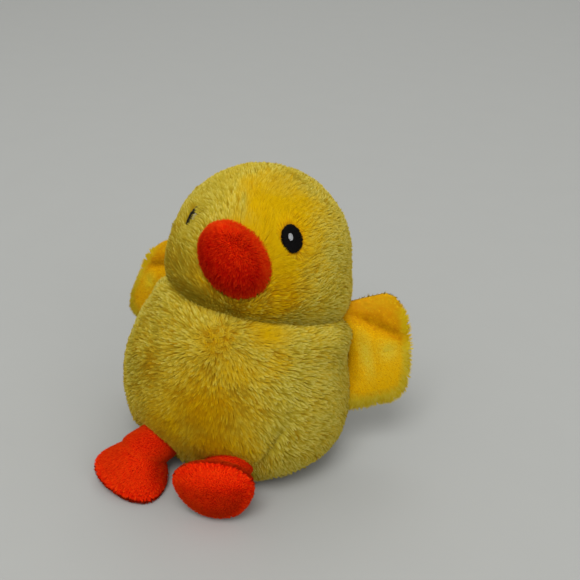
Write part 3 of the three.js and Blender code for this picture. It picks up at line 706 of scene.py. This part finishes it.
YELLOW = pile_finish(
    "yellow_plush",
    [(0.0, srgb(142, 116, 10)), (0.5, srgb(190, 170, 50)), (1.0, srgb(226, 212, 106))],
    [(0.0, srgb(172, 112, 0)), (0.5, srgb(212, 166, 0)), (1.0, srgb(228, 192, 0))],
)
GOLDEN = pile_finish(
    "golden_short_plush",
    [(0.0, srgb(214, 180, 10)), (0.45, srgb(226, 198, 40)), (1.0, srgb(234, 214, 92))],
    [(0.0, srgb(210, 132, 0)), (0.4, srgb(238, 182, 0)), (1.0, srgb(248, 204, 0))],
    roughness=0.6, specular=0.05,
)
ORANGE = pile_finish(
    "orange_short_plush",
    [(0.0, srgb(222, 24, 0)), (0.45, srgb(246, 46, 2)), (1.0, srgb(252, 88, 14))],
    [(0.0, srgb(150, 0, 0)), (0.45, srgb(190, 6, 0)), (1.0, srgb(216, 30, 2))],
    sheen=0.1,
)
BLACK_THREAD = grainy_finish("black_thread", srgb(12, 11, 11), 0.4, 1800.0, 0.6, 0.06)
PALE_THREAD = grainy_finish("pale_thread", srgb(176, 178, 180), 0.5, 1800.0, 0.5, 0.2)
WHITE_FIBRE = grainy_finish("white_fibre", srgb(238, 238, 234), 0.7, 900.0, 0.9, 0.1)
MILKY_PLASTIC = grainy_finish("milky_plastic", srgb(232, 232, 224), 0.9, 120.0, 0.4, 0.5)


def dress(made, body, nodes=()):
    """Says which body a piece rides on and hides the nodes it stands for."""
    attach(made, body)
    if nodes:
        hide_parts(*nodes)


# Body panels

SIDE_COLUMNS = 68
BELLY_COLUMNS = 72
SEAT_ROWS = 9
BASE_ROWS = 6
UPPER_ROWS = 44
BODY_SEAMS = (0, SIDE_COLUMNS, SIDE_COLUMNS + BELLY_COLUMNS, 2 * SIDE_COLUMNS + BELLY_COLUMNS)
SEAM_ROW = SEAT_ROWS + BASE_ROWS - 1


def body_grid():
    """Angles, heights and backing points of the whole body bag, with its seams on fixed rows and columns.

    The surface dips in bells along its seams, deepest at the low end of the side seams, and in to the neck,
    less so on the toy's left. It swells in humps at the shoulders and on the right side.
    """
    heights = np.concatenate([
        np.full(SEAT_ROWS, SKIN_DEPTH),
        np.linspace(SKIN_DEPTH, BASE_SEAM, BASE_ROWS + 1)[1:],
        np.linspace(BASE_SEAM, BODY_TOP, UPPER_ROWS + 1)[1:],
    ])
    share = np.concatenate([np.linspace(MIDDLE_SIZE, 1, SEAT_ROWS), np.ones(BASE_ROWS + UPPER_ROWS)])[:, None]
    seam = belly_angle(heights)[:, None]
    right = -180 + (180 - seam) * np.linspace(0, 1, SIDE_COLUMNS + 1)[None, :-1]
    belly = seam * np.linspace(-1, 1, BELLY_COLUMNS + 1)[None, :-1]
    left = seam + (180 - seam) * np.linspace(0, 1, SIDE_COLUMNS + 1)[None, :]
    angles = np.concatenate([right, belly, left], 1)
    height = np.broadcast_to(heights[:, None], angles.shape)
    radius = body_radius(height, SKIN_DEPTH) * share
    above = height > BASE_SEAM - 0.1
    dip = BASE_SEAM_DIP * bell(height - BASE_SEAM, BASE_SEAM_WIDTH) * (share == 1)
    low = LOW_SEAM_DIP * bell(height - LOW_SEAM_HEIGHT, LOW_SEAM_SPREAD)
    for line, more in ((-seam, low), (seam, low), (180, 0), (-180, 0)):
        away = np.radians(angles - line) * radius
        dip = np.maximum(dip, (SEAM_DIP + more) * above * bell(away, SEAM_WIDTH))
    neck = NECK_DIP * smooth(height, NECK_DIP_START, NECK_DIP_END) * (1 - 0.7 * bell(angles - 85, 40))
    radius = radius - dip + humps(angles, height, BODY_SWELL) - neck
    return angles, height, body_surface(angles, height, radius)


# Patches of the body: angle, height, spread round it, spread in height and strength
BODY_SWELL = [(90, 57, 45, 8, 4.6), (-85, 56, 45, 8, 2.0), (-85, 34, 42, 24, 2.8)]
# Deep gold where the nap is seen end-on; the pale between is partly painted sheen of nap seen from its side
BODY_DEEP = [
    (33, 57, 13, 4.5, 1.0), (6, 53, 9, 4, 0.8), (8, 33, 24, 12, 1.0), (14, 22, 24, 10, 1.0),
    (-8, 24, 18, 9, 0.9), (20, 46, 12, 6, 0.75), (40, 50, 8, 5, 0.7), (-26, 39, 9, 5, 0.35),
]
# Darker tips where the pile stands open and shows its roots, and painted shade, most just below the neck
# crease
BODY_ROOTS_AND_SHADE = [
    (8, 31, 26, 13, 0.95), (-26, 39, 11, 8, 1.1), (-50, 42, 16, 14, 0.7), (-14, 21, 26, 9, 0.8),
    (-30, 51, 16, 8, 0.45), (-36, 32, 14, 8, 0.8), (24, 20, 20, 8, 0.4), (-28, 61.5, 32, 4, 1.1),
]
# Painted sheen: paler beside the toy's left side seam
BODY_SHEEN = [(46, 36, 12, 20, 0.35), (28, 40, 14, 8, 0.2)]
# Sleek where it is brushed smooth
BODY_SLEEK = [(33, 57, 13, 4.5, 1.0), (20, 46, 12, 6, 0.5), (8, 29, 26, 12, 0.75), (-10, 20, 22, 8, 0.6)]


def body_way(angle, height, rng):
    """Nap of the body: away from a whorl on the chest in front, and down over the back."""
    span = np.radians(angle - WHORL_ANGLE) * GIRTH
    climb = height - WHORL_HEIGHT
    near = bell(np.hypot(span, climb), WHORL_RADIUS)
    way = unit(np.stack([span, climb], 1) + (6 * near)[:, None] * rng.normal(0, 1, (len(angle), 2)))
    down = unit(np.stack([0.4 * np.sign(angle), np.full(len(angle), -1.0)], 1))
    front = smooth(np.abs(angle), 110, 60)[:, None]
    return unit(way * front + down * (1 - front))


def leg_clearance(points):
    """How far points lie outside the nearer leg's tube, which starts inside the belly."""
    nearest = np.full(len(points), np.inf)
    for hip, along in LEG_PLACE.values():
        offset = points - np.array(hip)
        ahead = offset @ np.array(along)
        beside = np.linalg.norm(offset - ahead[:, None] * np.array(along), axis=1) - LEG_RADIUS
        nearest = np.where(ahead > -HIP_DEPTH, np.minimum(nearest, beside), nearest)
    return nearest


def add_body():
    """Swells the body bag between its seams, cuts it into panels and covers each with pile."""
    angles, heights, grid = body_grid()
    pinned = np.zeros(angles.shape, bool)
    pinned[SEAM_ROW] = pinned[-1] = pinned[:SEAT_ROWS] = True
    for column in BODY_SEAMS:
        pinned[SEAM_ROW:, column] = True
    grid = puff(grid, pinned, SWELL["body"])
    grid[0] = grid[0].mean(0)
    right, belly, left = ((BODY_SEAMS[i], BODY_SEAMS[i + 1] + 1) for i in range(3))
    upper = (SEAM_ROW, None)
    panels = [
        ("base_plush", (0, SEAM_ROW + 1), (0, None), ["base_panel"], "plush_gold"),
        ("belly_plush", upper, belly, ["belly_panel", "body_stuffing_front"], "plush_gold"),
        ("side_plush_right", upper, right, ["side_panel_right"], "plush_pale"),
        ("side_plush_left", upper, left, ["side_panel_left", "body_stuffing_back"], "plush_pale"),
    ]
    for k, (name, part_rows, part_columns, nodes, slot) in enumerate(panels):
        patch = grid[slice(*part_rows), slice(*part_columns)]
        dress(make_skin(name, patch, YELLOW, BACKING["body"]), "body", nodes)
        density = DENSITY["base" if name == "base_plush" else "body"]
        places = Strewn(grid, density, SEED["body"] + k, part_rows, part_columns)
        places.only(leg_clearance(places.at(grid)) > 0)
        angle, height = places.at(angles), places.at(heights)
        # Shorter at the neck, under the seat and beside the legs
        cut = (1 - 0.45 * smooth(height, 57, 63)) * np.where(height < SKIN_DEPTH + 0.2, 0.65, 1)
        cut = cut * (0.3 + 0.7 * smooth(leg_clearance(places.at(grid)), 0, 5))
        seam = bell(np.radians(np.abs(angle) - belly_angle(height)) * GIRTH, 1.6)
        low = bell(height - 20, 9)
        # Paler along the side seams and beside the left one, as painted sheen
        # Tips darkened where the pile stands open, and as painted shade just below the neck crease
        fur = add_long_pile(name + "_pile", places, body_way(angle, height, places.rng),
                            humps(angle, height, BODY_DEEP), humps(angle, height, BODY_SLEEK),
                            np.maximum(humps(angle, height, BODY_ROOTS_AND_SHADE) * (1 - seam), 0.3 * seam * low),
                            cut * (1 + 0.15 * seam), np.zeros(len(angle)),
                            -0.25 * seam - humps(angle, height, BODY_SHEEN))
        dress(fur, "body")


# Head panels

HEAD_COLUMNS = 44
HEAD_ROWS = 64
LOWEST = -58.0
HIGHEST = 89.5
LOWEST_PILE = -50.0
# Patches of the head: longitude, latitude, spread in each and strength
# Painted shade: darker tips under the beak and chin, on the lower cheeks and on the toy's right side, most on
# its right cheek
HEAD_PAINTED_SHADE = [
    (30, -16, 26, 16, 0.5), (0, -24, 60, 10, 0.5), (-45, 35, 45, 40, 0.35), (-38, -10, 32, 18, 1.05),
    (-20, -26, 38, 13, 1.35),
]
HEAD_SOFT = [(-38, 44, 26, 22, 0.65)]
# Longitudes at which the deep and the sleek yellow end on the left cheek
CHEEK_LATITUDES = [-20, -7, 6, 18, 31, 50, 70]
CHEEK_GOLD = [30, 40, 45, 48, 51, 52, 34]
CHEEK_SLEEK = [16, 26, 34, 42, 46, 46, 30]


def eye_place(side):
    """Place and sideways, upward and outward axes of an eye."""
    longitude, latitude, tilt = EYE_PLACE[side]
    return head_frame(longitude, latitude, HEAD_RADIUS - EYE_SUNK, tilt)


def from_eye(points, side):
    """Points' distances sideways and upward from an eye's middle, over its half width and half height; a
    point far behind the eye is put well away from it."""
    place, across, up, out = eye_place(side)
    offset = points - place
    far = np.where(offset @ out > -8, 0, 9)
    return offset @ across / (EYE_SIZE[0] / 2) + far, offset @ up / (EYE_SIZE[1] / 2) + far


def head_deep(lon, lat, cheek, low):
    """How deep or sleek the head's yellow looks: 1 between the longitudes of the parting and the cheek, which
    shift with latitude, fading out past them and below the latitude low. The pale outside is partly painted
    sheen of nap seen from its side."""
    parting = np.interp(lat, [18, 30, 45, 58, 70], [-8, -3, -10, -20, -12])
    cheek = np.interp(lat, CHEEK_LATITUDES, cheek)
    inside = smooth(lon - parting, -20, 13) * smooth(cheek - lon, -24, 18)
    return inside * smooth(lat, low - 14, low + 14) * smooth(lat, 84, 44)


def head_way(lon, lat):
    """Nap of the head: a turn about the line through its sides, up in front and down behind, spread sideways
    by the sine of the longitude."""
    lon, lat = np.radians(lon), np.radians(lat)
    return unit(np.stack([np.sin(lon) * (np.sin(lat) + 0.8 * np.cos(lat) ** 2 + 0.35), np.cos(lon)], 1))


def head_grid():
    """Longitudes, latitudes and backing points of the head, in four gores.

    The surface dips in bells along the seams and swells at the jowls, more at the left one.
    """
    longitude, latitude = np.meshgrid(np.linspace(-180, 180, 4 * HEAD_COLUMNS + 1),
                                      np.linspace(LOWEST, HIGHEST, HEAD_ROWS))
    radius = HEAD_RADIUS - SKIN_DEPTH
    away = np.radians(np.abs((longitude + 45) % 90 - 45)) * radius * np.cos(np.radians(latitude))
    radius = radius - HEAD_SEAM_DIP * bell(away, HEAD_SEAM_WIDTH)
    jowl = JOWL + LEFT_JOWL * bell(longitude - 90, 40)
    radius = radius + bell(latitude - JOWL_LATITUDE, JOWL_SPREAD) * jowl
    return longitude, latitude, head_surface(longitude, latitude, radius)


def round_eyes(way, point):
    """Nap of the head's pile, parted round the left eye and laid over the right one by bells of the distance
    from their rims, with the change in its length and the share of it that lies over the right eye."""
    x, y = from_eye(point, "left")
    apart = np.hypot(x, y) - 1
    close = bell(apart, 0.6)[:, None]
    way = unit(way * (1 - close) + unit(np.stack([x, y], 1)) * close)
    x, y = from_eye(point, "right")
    over = bell(np.hypot(x, y) - 1.2, 0.7) * smooth(x, -0.2, 0.6)
    way = unit(way * (1 - over)[:, None] + np.array([-1.0, 0.2]) * over[:, None])
    return way, (1 - 0.45 * bell(apart, 0.35)) * (1 + 0.21 * over), over


def add_head():
    """Swells the head's four gores between their seams and covers each with pile."""
    longitude, latitude, grid = head_grid()
    pinned = np.zeros(longitude.shape, bool)
    pinned[0] = pinned[-1] = True
    pinned[:, ::HEAD_COLUMNS] = True
    grid = puff(grid, pinned, SWELL["head"])
    grid[-1] = grid[-1].mean(0)
    names = ["head_back_plush_right", "face_plush_right", "face_plush_left", "head_back_plush_left"]
    for k, name in enumerate(names):
        part = (k * HEAD_COLUMNS, (k + 1) * HEAD_COLUMNS + 1)
        nodes = [name.replace("plush", "panel")] + (["head_stuffing"] if k == 0 else [])
        skin = make_skin(name, grid[:, slice(*part)], YELLOW, BACKING["head"])
        dress(skin, "head", nodes)
        places = Strewn(grid, DENSITY["head"], SEED["head"] + k, columns=part)
        lon, lat = places.at(longitude), places.at(latitude)
        eyes = np.minimum(*(np.hypot(*from_eye(places.at(grid), side)) for side in SIGN))
        beak = np.hypot(lon * np.cos(np.radians(lat)), lat - BEAK_LATITUDE)
        places.only((eyes > 1.0) & (beak > BEAK_CLEAR) & (lat > LOWEST_PILE))
        lon, lat = places.at(longitude), places.at(latitude)
        way, cut, over = round_eyes(head_way(lon, lat), places.at(grid))
        hidden = smooth(lat, -26, -36)
        part_line = bell(lon + 3 + 0.4 * (lat - 30), 2.0) * smooth(lat, 22, 28) * smooth(lat, 52, 42)
        near_lon, near_lat = lon + 9 * places.drift(5.0), lat + 7 * places.drift(6.0)
        gold = head_deep(near_lon, near_lat, CHEEK_GOLD, -26)
        soft = humps(lon, lat, HEAD_SOFT)
        sleek = np.maximum(np.maximum(head_deep(near_lon, near_lat, CHEEK_SLEEK, -8), over), soft)
        # Tips darkened as painted shade under the beak and on the cheeks, and darker towards the crown
        dull = np.maximum(humps(lon, lat, HEAD_PAINTED_SHADE), 0.3 * smooth(lat, 45, 70))
        fur = add_long_pile(name + "_pile", places, way, gold, sleek, dull, cut * (1 - 0.6 * hidden), hidden,
                            -0.5 * part_line - 0.15 * soft)
        dress(fur, "head")


def add_beak():
    """A dome of short pile: half an ellipsoid seated on the head, its width turned down to the toy's left."""
    place, across, up, out = head_frame(0, BEAK_LATITUDE, HEAD_RADIUS - BEAK_SUNK, -BEAK_TILT)
    turn, climb = turn_grid("beak", -BEAK_LIP, np.pi / 2 - POLE_GAP)
    wide = (BEAK_WIDTH / 2 - BEAK_SKIN) * np.cos(climb)
    tall = (BEAK_HEIGHT / 2 - BEAK_SKIN) * np.cos(climb)
    deep = (BEAK_DEPTH - BEAK_SKIN) * np.sin(climb)
    grid = in_frame(place, (across, up, out), wide * np.cos(turn), tall * np.sin(turn), deep)
    grid = sew(grid, [0], SWELL["beak"], -1)
    skin = make_skin("beak_plush", grid, ORANGE, BACKING["beak"])
    dress(skin, "head", ["beak_cover", "beak_stuffing"])
    places = Strewn(grid, DENSITY["beak"], SEED["beak"])
    rng = places.rng
    point, normal, _, _ = places.cloth()
    fall = unit(0.2 * out - HEAD_UP)
    comb = fall - normal * (normal @ fall)[:, None] + 0.25 * rng.normal(0, 1, point.shape)
    comb = flat(comb, normal)
    fringe = 1 - smooth(places.at(climb), 0.1, 0.7)
    low = smooth(normal @ HEAD_UP, 0.1, -0.6)
    lean = np.radians(32 + 12 * places.drift(2.5)) + places.jitter(0.12)
    length = rng.uniform(*MIDDLE_LENGTH, len(point))
    length = length * (1 + 0.4 * fringe + 0.3 * low * (1 + places.drift(2.0)))
    tips = point + length[:, None] * leaned(normal, comb, lean)
    tips, lead = draw_locks(point, tips, LOCK, 0.25 + 0.45 * low)
    # Painted highlight: paler orange where the beak faces up towards the light
    high = humps(normal @ across, normal @ up, BEAK_PAINTED_HIGHLIGHT)
    shade = 0.9 - 0.8 * fringe - 0.12 * low - high + 0.12 * places.drift(4.0) + places.jitter(0.1)[lead]
    bloom = np.clip(0.85 + places.jitter(0.2)[lead] * (0.6 + low) - 0.15 * low, 0.15, TIP)
    width = rng.uniform(*MIDDLE_WIDTH, len(point))
    fur = make_pile("beak_plush_pile", point - SHORT_SUNK * normal, tips, normal, width, shade, ORANGE, rng,
                    0.8, bloom)
    dress(fur, "head")


def stitched_oval(name, place, axes, size, material, rng):
    """Satin stitches: round threads side by side across an oval, each arched over its own width.

    A thread at height y runs over x from -w to w, where w follows the oval, and rises by rise times
    the square root of 1 - (x / w) squared.
    """
    width, height, rise = size
    lines = int(height / STITCH_PITCH)
    y = (np.arange(lines) + 0.5) / lines * 2 - 1
    half = width / 2 * np.sqrt(1 - y**2) * rng.uniform(0.92, 1.08, lines)
    t = np.linspace(-1, 1, THREAD_POINTS)
    x = half[:, None] * t
    lift = rise * np.sqrt(np.maximum(1 - t**2, 0))[None] * (0.6 + 0.4 * np.sqrt(1 - y**2))[:, None]
    slant = rng.normal(0, 0.06, lines)[:, None] * t
    centre = in_frame(place, axes, x, (y * height / 2)[:, None] + slant, lift)
    turn = np.linspace(0, 2 * np.pi, THREAD_SIDES + 1)[:-1]
    ring = np.cos(turn)[:, None] * axes[1] + np.sin(turn)[:, None] * axes[2]
    points = centre[:, :, None] + 0.62 * STITCH_PITCH * ring
    first = np.arange(THREAD_SIDES)
    ends = np.array([first[::-1], first + THREAD_SIDES * (THREAD_POINTS - 1)])
    offset = (np.arange(lines) * THREAD_POINTS * THREAD_SIDES)[:, None, None]
    sides = grid_faces(THREAD_POINTS, THREAD_SIDES, True)
    faces = [(sides + offset).reshape(-1, 4), (ends + offset).reshape(-1, THREAD_SIDES)]
    return make_mesh(name, points.reshape(-1, 3), faces, material)


def add_eyes():
    """Stitched ovals with a small pale highlight each."""
    for side in SIGN:
        rng = np.random.default_rng(SEED["eye"] + SIGN[side])
        place, *axes = eye_place(side)
        eye = stitched_oval(f"eye_stitches_{side}", place, axes, EYE_SIZE, BLACK_THREAD, rng)
        dress(eye, "head", [f"eye_{side}"])
        spot = in_frame(place, axes, *np.array(GLINT_PLACE[side]))
        glint = stitched_oval(f"eye_glint_stitches_{side}", spot, axes, GLINT_SIZE, PALE_THREAD, rng)
        dress(glint, "head", [f"eye_glint_{side}"])


# Wings and feet


def add_pad(name, body, nodes, place, axes, looks, seed):
    """One face of a sewn pad with its pile: axes are the pad's x, y and outward directions."""
    turn, size = turn_grid("pad", MIDDLE_SIZE, 1)
    size = size**SIZE_POWER
    x, y, height = pad_surface(body, size, turn, looks)
    grid = in_frame(place, axes, x, y, height)
    if np.dot(np.cross(axes[0], axes[1]), axes[2]) * (1 if body in WING_SHEAR else -1) > 0:
        grid, size, x, y = (a[:, ::-1] for a in (grid, size, x, y))
    grid = sew(grid, [-1], SWELL["pad"], 0)
    grid[..., 2] = np.maximum(grid[..., 2], PAD_FLOOR)
    skin = make_skin(name, grid, looks["finish"], BACKING["pad"], THIN_WALL)
    dress(skin, body, nodes)
    places = Strewn(grid, looks["density"], seed)
    rng = places.rng
    point, normal, _, _ = places.cloth()
    px, py = places.at(x), places.at(y)
    middle = pad_middle(body)
    outward = unit((px - middle[0])[:, None] * axes[0] + (py - middle[1])[:, None] * axes[1])
    flow = looks["comb"][0] * axes[0] + looks["comb"][1] * axes[1]
    rim_share = smooth(places.at(size), *looks["band"])
    edge = rim_share * looks["edge"](px, py)
    comb = outward * edge[:, None] + flow * (1 - edge)[:, None] + 0.3 * rng.normal(0, 1, point.shape)
    comb = flat(comb, normal)
    lean = np.radians(looks["lean"] + 10 * places.drift(3.0)) + places.jitter(0.1)
    length = rng.uniform(*looks["length"], len(point)) * (1 + looks["rim"] * edge)
    length = length * (1 - 0.6 * (rim_share - edge))
    tips = point + length[:, None] * leaned(normal, comb, lean)
    tips, lead = draw_locks(point, tips, PAD_LOCK, 0.15 + 0.5 * edge)
    shade = looks["shade"](px, py) + 0.08 * places.drift(4.0)
    shade = shade + places.jitter(0.06)[lead] + places.jitter(0.03)
    shade = shade - edge * (looks["pale_rim"] + places.jitter(0.25)[lead])
    # Tips darkened by the looks' dull: painted shade on the wings' fronts
    bloom = 0.9 + places.jitter(0.15)[lead] * (1 + edge) - 0.3 * edge - looks["dull"](px, py)
    bloom = np.clip(bloom, 0.1, TIP)
    shading = unit(normal + rim_share[:, None] * (0.6 * outward + 0.9 * looks["lit"] * axes[2]))
    width = rng.uniform(*looks["width"], len(point))
    fur = make_pile(name + "_pile", point - SHORT_SUNK * normal, tips, shading, width, shade,
                    looks["finish"], rng, 0.9, bloom)
    dress(fur, body)


def past_root(x, y):
    """The loose part of a wing's rim: its outer end and its lower edge, and less of its upper one."""
    outer = smooth(x, 0.1 * WING_REACH, 0.35 * WING_REACH)
    lower = smooth(y, -0.25 * WING_TALL, -0.36 * WING_TALL)
    return np.maximum(outer, lower) * (1 - 0.7 * smooth(y - 0.6 * x, -4, 6))


def above_fold(x, y):
    """Height above a wing's crease, a straight line that falls from the upper root out to the tip."""
    return y - (FOLD_START - FOLD_FALL * x)


def wing_fold(x, y):
    """The crease: a bell across its line."""
    return bell(above_fold(x, y) / math.hypot(1, FOLD_FALL), FOLD_WIDTH)


def wing_front_painted_shade(x, y):
    """Painted shade: darker in the crease and on the lobe above it."""
    return 0.6 * wing_fold(x, y) + 0.75 * smooth(above_fold(x, y), 0, 5)


def far_wing_painted_shade(x, y):
    """The same, and darker all over: painted shade, as this wing is turned away from the light."""
    return np.maximum(wing_front_painted_shade(x, y), 0.45)


def wing_front_swell(x, y):
    """Even swelling, pulled in along the crease."""
    return WING_SWELL - FOLD_DEPTH * wing_fold(x, y)


def wing_front_shade(x, y):
    """Golden, deepest in the crease as painted shade, with two paler places where the nap catches the light:
    painted highlights.
    """
    return 0.92 + 0.4 * wing_fold(x, y) - humps(x, y, WING_PAINTED_HIGHLIGHTS)


def foot_upper_swell(x, y):
    """A low pad with a high instep: a bell about the ankle."""
    return FOOT_SWELL + INSTEP_RISE * bell(np.hypot(x / INSTEP_WIDTH, (y + 1) / INSTEP_LENGTH), 1)


# Looks of the pads
WING_FRONT = dict(
    finish=GOLDEN, slot="satin_gold", fill=FILL["wing"], swell=wing_front_swell, power=0.6, raised=0.5,
    density=20.0, comb=(0.4, -0.7), lean=58, length=(0.7, 1.0), width=SHORT_WIDTH, band=(0.66, 0.92),
    edge=past_root, rim=2.6, pale_rim=1.2, lit=1, shade=wing_front_shade,
)
# Painted shade on each wing's front, darker all over on the toy's right wing
WING_PAINTED_SHADE = {"left": wing_front_painted_shade, "right": far_wing_painted_shade}
WING_BACK = dict(
    finish=YELLOW, slot="plush_pale", fill=FILL["wing"], swell=same(WING_BACK_SWELL), power=0.7, raised=0.5,
    density=13.0, comb=(0.6, -0.6), lean=52, length=(1.9, 2.5), width=LONG_WIDTH, band=(0.75, 1.0),
    edge=past_root, rim=0.1, pale_rim=0.05, lit=0, shade=same(0.16), dull=same(0.0),
)
FOOT_UPPER = dict(
    finish=ORANGE, slot="plush_orange", fill=FILL["foot"], swell=foot_upper_swell, power=0.6, raised=0.3,
    density=20.0, comb=(0.0, 1.0), lean=44, length=SHORT_LENGTH, width=SHORT_WIDTH, band=(0.75, 1.0),
    edge=same(1.0), rim=0.1, pale_rim=0.15, lit=1, shade=same(0.18), dull=same(0.0),
)
FOOT_SOLE = dict(FOOT_UPPER, swell=same(SOLE_SWELL))


def add_wings():
    """Two padded faces to each wing: a golden front with a crease and a pale back."""
    for side, (place, reach, tall) in WING_PLACE.items():
        place, reach, tall = (np.array(v) for v in (place, reach, tall))
        front = -SIGN[side] * np.cross(tall, reach)
        golden = dict(WING_FRONT, dull=WING_PAINTED_SHADE[side])
        add_pad(f"wing_front_plush_{side}", f"wing_{side}", [f"wing_front_{side}", f"wing_wadding_{side}"],
                place, (reach, tall, front), golden, SEED["wing_front"] + SIGN[side])
        add_pad(f"wing_back_plush_{side}", f"wing_{side}", [f"wing_back_{side}"],
                place, (reach, tall, -front), WING_BACK, SEED["wing_back"] + SIGN[side])


def add_feet():
    """Two padded faces to each foot, plump at the instep."""
    for side, (place, across, up) in FOOT_PLACE.items():
        place, across, up = (np.array(v) for v in (place, across, up))
        toes = -np.cross(up, across)
        seat = place - FOOT_DROP * up
        add_pad(f"foot_upper_plush_{side}", f"foot_{side}", [f"foot_upper_{side}", f"foot_stuffing_{side}"],
                seat, (across, toes, up), FOOT_UPPER, SEED["foot_upper"] + SIGN[side])
        add_pad(f"foot_sole_plush_{side}", f"foot_{side}", [f"foot_sole_{side}"],
                seat, (across, toes, -up), FOOT_SOLE, SEED["foot_sole"] + SIGN[side])


def add_legs():
    """Short stuffed tubes: a circle carried from inside the belly to the ankle and rounded over there."""
    for side, (hip, along) in LEG_PLACE.items():
        hip, along = np.array(hip), np.array(along)
        across = unit(np.cross(along, UP))
        over = np.cross(across, along)
        turn, reach = turn_grid("leg", -LEG_END, LEG_LENGTH + LEG_END, (2 * np.pi, 0))
        past = np.clip((reach - LEG_LENGTH) / LEG_ROUNDING, 0, 1)
        radius = LEG_RADIUS * (1 + LEG_FLARE * smooth(reach, 0, LEG_LENGTH))
        radius = radius * np.sqrt(np.maximum(1 - past**2, 0.0004))
        grid = in_frame(hip, (along, across, over), reach, radius * np.cos(turn), radius * np.sin(turn))
        grid = sew(grid, [0, -1], SWELL["leg"], -1)
        skin = make_skin(f"leg_plush_{side}", grid, ORANGE, BACKING["leg"], THIN_WALL)
        dress(skin, f"leg_{side}", [f"leg_cover_{side}", f"leg_stuffing_{side}"])
        places = Strewn(grid, DENSITY["leg"], SEED["leg"] + SIGN[side])
        rng = places.rng
        point, normal, _, _ = places.cloth()
        comb = flat(along + 0.3 * rng.normal(0, 1, point.shape), normal)
        lean = np.radians(40 + 10 * places.drift(3.0))
        length = rng.uniform(*SHORT_LENGTH, len(point))
        tips = point + length[:, None] * leaned(normal, comb, lean)
        shade = 0.35 + 0.15 * places.drift(4.0) + places.jitter(0.1)
        fur = make_pile(f"leg_plush_{side}_pile", point - SHORT_SUNK * normal, tips, normal,
                        rng.uniform(*MIDDLE_WIDTH, len(point)), shade, ORANGE, rng)
        dress(fur, f"leg_{side}")


def add_inside():
    """A ball of fibre in the neck, an ellipsoid in its node's box, and the squeaker's finish."""
    low, high = (np.array(corner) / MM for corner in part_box("neck_stuffing"))
    turn, climb = turn_grid("neck", -np.pi / 2, np.pi / 2)
    ball = np.stack([np.cos(climb) * np.cos(turn), np.cos(climb) * np.sin(turn), np.sin(climb)], -1)
    grid = (low + high) / 2 + ball * (high - low) / 2
    dress(make_skin("neck_fibre", grid, WHITE_FIBRE), "neck", ["neck_stuffing"])
    for name in ("squeaker_shell", "squeaker_bulb", "squeaker_reed"):
        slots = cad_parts[name].data.materials
        slots.clear()
        slots.append(MILKY_PLASTIC)


# Stage


def add_stage():
    """A plain pale floor, a large soft lamp in front, weaker ones at the side and behind, and an even sky."""
    floor_finish = grainy_finish("pale_floor", FLOOR_COLOUR, 0.99, 40.0, 0.9, 0.1)
    corners = np.array([[-1, -1, 0], [1, -1, 0], [1, 1, 0], [-1, 1, 0]]) * FLOOR_HALF / MM
    floor = make_mesh("floor", corners, [np.array([[0, 1, 2, 3]])], floor_finish)

    scene = bpy.context.scene
    scene.world = bpy.data.worlds.new("studio")
    scene.world.use_nodes = True
    set_values(scene.world.node_tree.nodes["Background"], Color=SKY_COLOUR, Strength=SKY_STRENGTH)

    for name, (spot, size, power) in LAMPS.items():
        lamp = bpy.data.lights.new(name, "AREA")
        lamp.energy = power
        lamp.size = size
        made = new_object(name, lamp)
        made.location = spot
        made.rotation_euler = (AIM - Vector(spot)).to_track_quat("-Z", "Y").to_euler()

    camera = bpy.data.cameras.new("camera")
    camera.sensor_width = CAMERA_SENSOR
    camera.lens = CAMERA_SENSOR / 2 / math.tan(math.radians(CAMERA_ANGLE) / 2)
    camera.shift_x, camera.shift_y = CAMERA_SHIFT
    camera.clip_start = CAMERA_NEAR
    eye = new_object("camera", camera)
    azimuth, elevation = math.radians(CAMERA_AZIMUTH), math.radians(CAMERA_ELEVATION)
    back = Vector((math.sin(azimuth) * math.cos(elevation), -math.cos(azimuth) * math.cos(elevation),
                   math.sin(elevation)))
    eye.location = AIM + back * CAMERA_DISTANCE
    eye.rotation_euler = (-back).to_track_quat("-Z", "Y").to_euler()
    scene.camera = eye
    scene.view_settings.view_transform = "Standard"


add_stage()
add_body()
add_head()
add_beak()
add_eyes()
add_wings()
add_legs()
add_feet()
add_inside()
